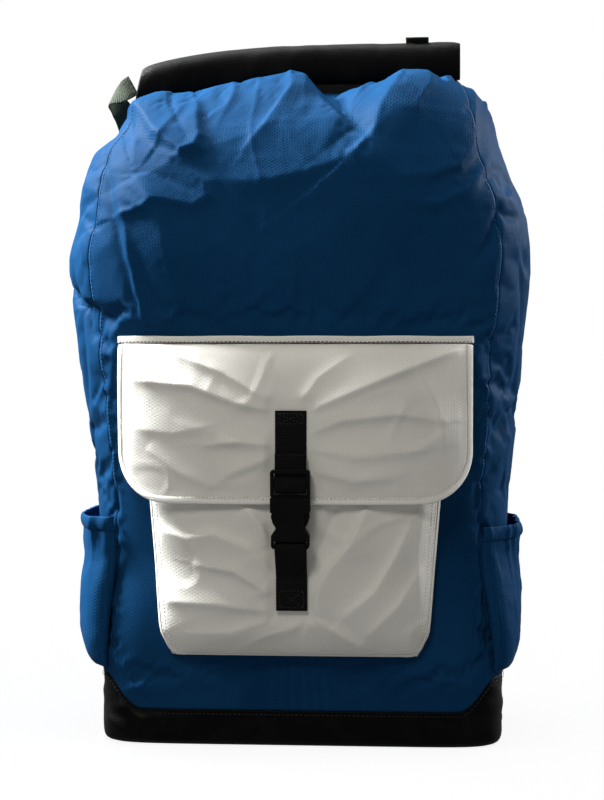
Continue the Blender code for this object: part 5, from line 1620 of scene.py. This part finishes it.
def make_yoke():
    angles = arc_angles(66, 114, 56)
    top = 0.486 + 0.0020 * smooth(90, 110, angles)
    z = 0.446 + (top[None, :] - 0.446) * np.linspace(0, 1, 17)[:, None]
    deg = np.broadcast_to(angles[None, :], z.shape)
    u, v = cloth_uv(deg, z)
    grid = shell(deg, z, 2 * GAP + 0.0018 + 0.0003 * noise(u, v, 0.014, 83))
    slab("yoke", grid, 0.0016, "black_coated", "pack", ("yoke_patch",), (u, v), coarse=1)
    lines = []
    for z_line in (0.4490, 0.4520, 0.4820):
        turn = np.linspace(67.2, 112.8, 120)
        lines.append((shell(turn, z_line, 2 * GAP + 0.0021), shell_normal(shell(turn, z_line))))
    stitches("yoke_stitches", lines, "dark_thread", "pack", pitch=0.0032)


def make_haul_loop():
    line = [(-0.028, 0.0012), (-0.027, 0.010), (-0.016, 0.021), (0.0, 0.0255)]
    line += [(-x, out) for x, out in line[-2::-1]]
    points = [np.array((x, float(back_y(x, HAUL_Z)) + out, HAUL_Z + 0.20 * out)) for x, out in line]
    sides = even((0, -0.45, 1), points)
    width = WEB_WIDTH * SMALL
    strap("haul_webbing", points, sides, width, 0.0024, "black_webbing", "pack", ("haul_loop",), steps=10)


def strap_outer_y(z):
    """The outermost y of the shoulder straps near height z."""
    path = curve_through(STRAP_LINE[4:], 12)
    near = path[np.abs(path[:, 2] - z) < 0.013]
    return near[:, 1].max() + PAD_THICK / 2


def make_sternum_strap():
    """The chest strap's two webbings, each through its half of the buckle."""
    pad = strap_outer_y(STERNUM_Z) + 2 * GAP + WEB_THICK / 2
    turn = Matrix(((0, 0, -1), (0, -1, 0), (-1, 0, 0))).to_4x4()
    place = Matrix.Translation((0.006, pad + 0.0040, STERNUM_Z)) @ turn
    width, thick = WEB_WIDTH * SMALL, WEB_THICK * SMALL
    size = width, thick, "black_webbing"
    left = [np.array((x, pad, STERNUM_Z)) for x in (-0.104, -0.080, -0.045)]
    left += in_buckle(place, LADDER_PATH, SMALL)
    sides = even((0, 0, 1), left)
    strap("chest_strap_left", left, sides, *size, "sternum_half", ("sternum_webbing_left",))
    right = [np.array((x, pad, STERNUM_Z)) for x in (0.104, 0.080)] + in_buckle(place, BAR_PATH, SMALL)
    sides = even((0, 0, 1), right)
    strap("chest_strap_right", right, sides, *size, "harness_right", ("sternum_webbing_right",))
    outer = pad + thick / 2 + 0.0002
    for side, sign, body in (("left", -1, "sternum_half"), ("right", 1, "harness_right")):
        lines = []
        for x in (0.0855, 0.1015):
            path = [(sign * x, outer, STERNUM_Z + t) for t in np.linspace(-0.008, 0.008, 8)]
            lines.append((np.array(path), np.tile((0.0, 1.0, 0.0), (8, 1))))
        name = f"chest_bartacks_{side}"
        stitches(name, lines, "dark_thread", body, pitch=0.0015, share=0.9, width=0.0010)


# --- Closure straps ---------------------------------------------------------------------
def closure_place(sign):
    deg = CLOSURE_DEG if sign > 0 else 180 - CLOSURE_DEG
    surface = Vector(shell(deg, CLOSURE_JOINT_Z))
    above, below = shell(deg, CLOSURE_JOINT_Z + 0.02), shell(deg, CLOSURE_JOINT_Z - 0.03)
    up = (Vector(above) - Vector(below)).normalized()
    out = Vector(shell(deg, CLOSURE_JOINT_Z, 0.01)) - surface
    out = (out - up * out.dot(up)).normalized()
    across = (-out).cross(up)
    axes = Matrix((across, -out, up)).transposed().to_4x4()
    return Matrix.Translation(surface + out * 0.0085) @ axes


def roll_strap_left(place):
    middle = roll_centre(ROLL_LEFT_X)
    offsets = [(-0.0010, 0.0020, 0.003), (-0.0110, 0.0035, -0.003), (-0.0215, 0.0110, -0.008)]
    offsets.append((-0.0130, 0.0270, -0.020))
    points = [middle + np.array(p) for p in offsets]
    target = np.array(place @ Vector((0, 0.004, 0.026)))
    points.append(middle + (target - middle) * 0.62 + np.array((-0.004, 0.010, 0)))
    across = -side_of(place)
    sides = [np.array((0, 0.15, 1)), np.array((0, 0.3, 1)), np.array((0.2, 0.8, 0.6)), across, across]
    return points, sides


def roll_strap_right(place):
    middle = roll_centre(ROLL_STRAP_X)
    over = [(-0.0060, 0.0214), (0.0040, 0.0218), (0.0132, 0.0176), (0.0163, 0.0040)]
    points = [middle + np.array((0, y, z)) for y, z in over]
    points += [np.array((0.113, 0.047, 0.560)), np.array((0.136, 0.076, 0.528))]
    return points, even((1, 0, 0), over) + [np.array((1, -0.2, 0.3)), side_of(place)]


def make_closure_straps():
    """Olive webbing from the ends of the roll, and black webbing on the sides."""
    width, thick = WEB_WIDTH * SMALL, WEB_THICK * SMALL
    for side, sign, roll_strap in (("right", 1, roll_strap_right), ("left", -1, roll_strap_left)):
        place = closure_place(sign)
        across = side_of(place) * sign
        points, sides = roll_strap(place)
        near = in_buckle(place, LADDER_PATH, SMALL)
        strap(
            f"roll_strap_{side}", points + near, sides + even(across, near), width, thick,
            "olive_webbing", "roll_top", (f"roll_end_webbing_{side}",),
        )
        deg = CLOSURE_DEG if sign > 0 else 180 - CLOSURE_DEG
        points = [shell(deg, z, 0.0012) for z in (0.360, 0.385, 0.405)] + in_buckle(place, BAR_PATH, SMALL)
        strap(
            f"closure_webbing_{side}", points, even(across, points), width, thick,
            "black_webbing", "pack", (f"closure_strap_{side}",),
        )


# --- Padding inside and on the back -----------------------------------------------------
# The back pad's angles and heights, and where its sewn channels run
PAD_FIRST, PAD_LAST, PAD_LOW, PAD_HIGH = 58, 122, 0.060, 0.440
CHANNEL_X, CHANNEL_HEIGHTS, CHANNEL_REACH = 0.026, (0.150, 0.250, 0.345), 0.0045


def cushion_channels(deg, z):
    """1 along the pad's sewn channels, falling to 0 beside them."""
    x = np.abs(x_of(deg, z))
    channel = np.exp(-(((x - CHANNEL_X) / CHANNEL_REACH) ** 2))
    for height in CHANNEL_HEIGHTS:
        bend = height + 0.010 * x / 0.08
        across = np.exp(-(((z - bend) / CHANNEL_REACH) ** 2)) * smooth(0.024, 0.032, x)
        channel = np.maximum(channel, across)
    return channel


def make_back_cushion():
    """Padded mesh panel with three sewn channels, fuller between them."""
    angles = arc_angles(PAD_FIRST, PAD_LAST, 120)
    z = np.broadcast_to(np.linspace(PAD_LOW, PAD_HIGH, 181)[:, None], (181, len(angles)))
    deg = np.broadcast_to(angles[None, :], z.shape)
    u, v = cloth_uv(deg, z)
    middle = cloth_uv(np.array(90.0), np.array(0.25))[0]
    across = (u - middle + 0.6) % 1.2 - 0.6
    t = (z - PAD_LOW) / 0.380
    edge = (1 - np.abs((deg - 90) * 2 / (PAD_LAST - PAD_FIRST)) ** 6) * (1 - np.abs(2 * t - 1) ** 10)
    crown = 0.0010 + 0.0080 * np.sqrt(np.maximum(edge, 0.0))
    crown = crown - 0.0062 * cushion_channels(deg, z) * smooth(0.0, 0.5, edge)
    crown = crown + 0.0004 * noise(u, v, 0.02, 91)
    grid = shell(deg, z, 2 * GAP + np.maximum(crown, 0.0010))
    pad = slab("back_pad", grid, 0.0008, "black_mesh", "pack", ("back_cushion",), (across, v), coarse=4)
    make_cushion_binding()


def make_cushion_binding():
    corners = ((PAD_FIRST, PAD_LOW), (PAD_LAST, PAD_LOW), (PAD_LAST, PAD_HIGH), (PAD_FIRST, PAD_HIGH))
    ring = []
    for (a0, z0), (a1, z1) in zip(corners, corners[1:] + corners[:1]):
        ring += [(a0 + (a1 - a0) * s, z0 + (z1 - z0) * s) for s in np.linspace(0, 1, 26)[:-1]]
    ring.append(ring[0])
    deg, z = np.array(ring).T
    path = shell(deg, z, 2 * GAP + 0.0018)
    sides = unit(path - path.mean(axis=0))
    normals = shell_normal(shell(deg, z))
    sides = unit(sides - normals * np.sum(sides * normals, axis=1, keepdims=True))
    strap("back_pad_binding", path, list(sides), 0.0075, 0.0018, "black_webbing", "pack", steps=2)


def x_of(deg, z):
    return shell(deg, z)[..., 0]


def make_inserts():
    """Foam pad and frame sheet in the sleeve behind the back panel."""
    for name, node, depth, thick, finish in (
        ("foam_pad", "back_foam_pad", 0.0034, 0.0060, "foam"),
        ("frame_board", "frame_sheet", 0.0100, 0.0015, "frame_plastic"),
    ):
        angles = arc_angles(62, 118, 40)
        z = np.broadcast_to(np.linspace(0.045, 0.440, 61)[:, None], (61, 41))
        deg = np.broadcast_to(angles[None, :], z.shape)
        rounded = smooth(0.0, 0.006, np.minimum(z - 0.045, 0.440 - z) + 0.001)
        grid = shell(deg, z, -depth - 0.0006 * (1 - rounded))
        made = slab(name, grid, thick, finish, "pack", (node,), cloth_uv(deg, z), coarse=2)


# --- Moulded parts ----------------------------------------------------------------------
def finish_moulded():
    """Gives the kept CAD parts their moulded edges and plastic."""
    for name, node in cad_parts.items():
        hard = "buckle" in name or name.startswith("ladder_lock")
        if not hard and name != "collar_stiffener":
            continue
        finish = MATERIALS["frame_plastic" if name == "collar_stiffener" else "black_plastic"]
        for place in node.material_slots:
            place.link = "OBJECT"
            place.material = finish
        weld = node.modifiers.new("Weld", "WELD")
        weld.merge_threshold = 0.00001
        edges = node.modifiers.new("Edges", "BEVEL")
        edges.width = 0.00045
        edges.segments = 2
        edges.limit_method = "ANGLE"
        edges.angle_limit = math.radians(38)
        edges.harden_normals = True


# --- Stage ------------------------------------------------------------------------------
def area_light(name, place, target, size, power, colour):
    lamp = bpy.data.lights.new(name, "AREA")
    lamp.shape = "DISK"
    lamp.size = size
    lamp.energy = power
    lamp.color = colour
    made = bpy.data.objects.new(name, lamp)
    bpy.context.scene.collection.objects.link(made)
    made.location = place
    made.rotation_euler = (Vector(target) - Vector(place)).to_track_quat("-Z", "Y").to_euler()
    return made


def seen_or_lit(tree, lighting, seen):
    """A strength for what the surface gives as light, and another for how it looks itself."""
    direct = add(tree, "ShaderNodeLightPath").outputs["Is Camera Ray"]
    return spread(tree, direct, 0.0, 1.0, lighting, seen)


# Lamps: name, place, target, size, power and colour
LAMPS = (
    ("key", (-1.38, 0.30, 1.60), (0.0, 0.0, 0.35), 0.6, 285.0, (0.97, 0.99, 1.0)),
    ("top_back", (-0.1, 0.35, 2.2), (0.0, 0.0, 0.5), 1.0, 60.0, (1.0, 1.0, 1.0)),
    ("rim", (1.50, 0.85, 1.05), (0.0, 0.0, 0.35), 0.9, 60.0, (1.0, 1.0, 1.0)),
    ("fill", (-0.55, -1.85, 2.2), (0.0, 0.0, 0.3), 0.8, 33.0, (1.0, 0.97, 0.92)),
)
STAGE_RADIUS, STAGE_SIDES = 90.0, 96
CAMERA_PLACE, CAMERA_TURN_DEG = (0.1116, -1.596, 0.325), 4
CAMERA_SENSOR, CAMERA_LENS, CAMERA_SHIFT = 36.0, 82.2, -0.0625


def make_floor():
    """A pale round floor that reaches past the camera's horizon."""
    mesh = bpy.data.meshes.new("floor")
    turn = np.linspace(0, 2 * math.pi, STAGE_SIDES + 1)[:-1]
    rim = np.stack([np.cos(turn), np.sin(turn), 0 * turn], -1) * STAGE_RADIUS
    mesh.from_pydata(rim.tolist(), [], [list(range(STAGE_SIDES))])
    floor = bpy.data.objects.new("floor", mesh)
    bpy.context.scene.collection.objects.link(floor)
    made, tree, shader = new_material("floor", (0.80, 0.80, 0.80), 0.9)
    shader.inputs["Emission Color"].default_value = (1.0, 1.0, 1.0, 1.0)
    tree.links.new(seen_or_lit(tree, 0.30, 0.880), shader.inputs["Emission Strength"])
    mesh.materials.append(made)
    return floor


def make_world():
    world = bpy.data.worlds.new("studio")
    world.use_nodes = True
    tree = world.node_tree
    back = tree.nodes["Background"]
    back.inputs["Color"].default_value = (1.0, 1.0, 1.0, 1.0)
    tree.links.new(seen_or_lit(tree, 0.15, 1.0), back.inputs["Strength"])
    bpy.context.scene.world = world


def make_lamps(floor):
    """Lamps that light the pack but leave the floor evenly white."""
    shaded = bpy.data.collections.new("lit_by_lamps")
    shaded.objects.link(floor)
    shaded.collection_objects[0].light_linking.link_state = "EXCLUDE"
    for lamp in LAMPS:
        area_light(*lamp).light_linking.receiver_collection = shaded


def make_camera():
    camera = bpy.data.cameras.new("camera")
    camera.sensor_width = CAMERA_SENSOR
    camera.lens = CAMERA_LENS
    camera.shift_y = CAMERA_SHIFT
    view = bpy.data.objects.new("camera", camera)
    bpy.context.scene.collection.objects.link(view)
    view.location = CAMERA_PLACE
    view.rotation_euler = (math.radians(90), 0.0, math.radians(CAMERA_TURN_DEG))
    bpy.context.scene.camera = view


def make_stage():
    """Floor, background, lamps and camera."""
    floor = make_floor()
    make_world()
    make_lamps(floor)
    bpy.context.scene.view_settings.view_transform = "Standard"
    bpy.context.scene.view_settings.look = "None"
    make_camera()


def main():
    make_stage()
    make_panels()
    make_seam_stitches()
    make_tray()
    make_roll()
    make_sleeve()
    make_pocket()
    make_flap()
    make_flap_tape()
    make_front_straps()
    make_side_pockets()
    make_shoulder_straps()
    make_yoke()
    make_haul_loop()
    make_sternum_strap()
    make_closure_straps()
    make_back_cushion()
    make_inserts()
    finish_moulded()


main()
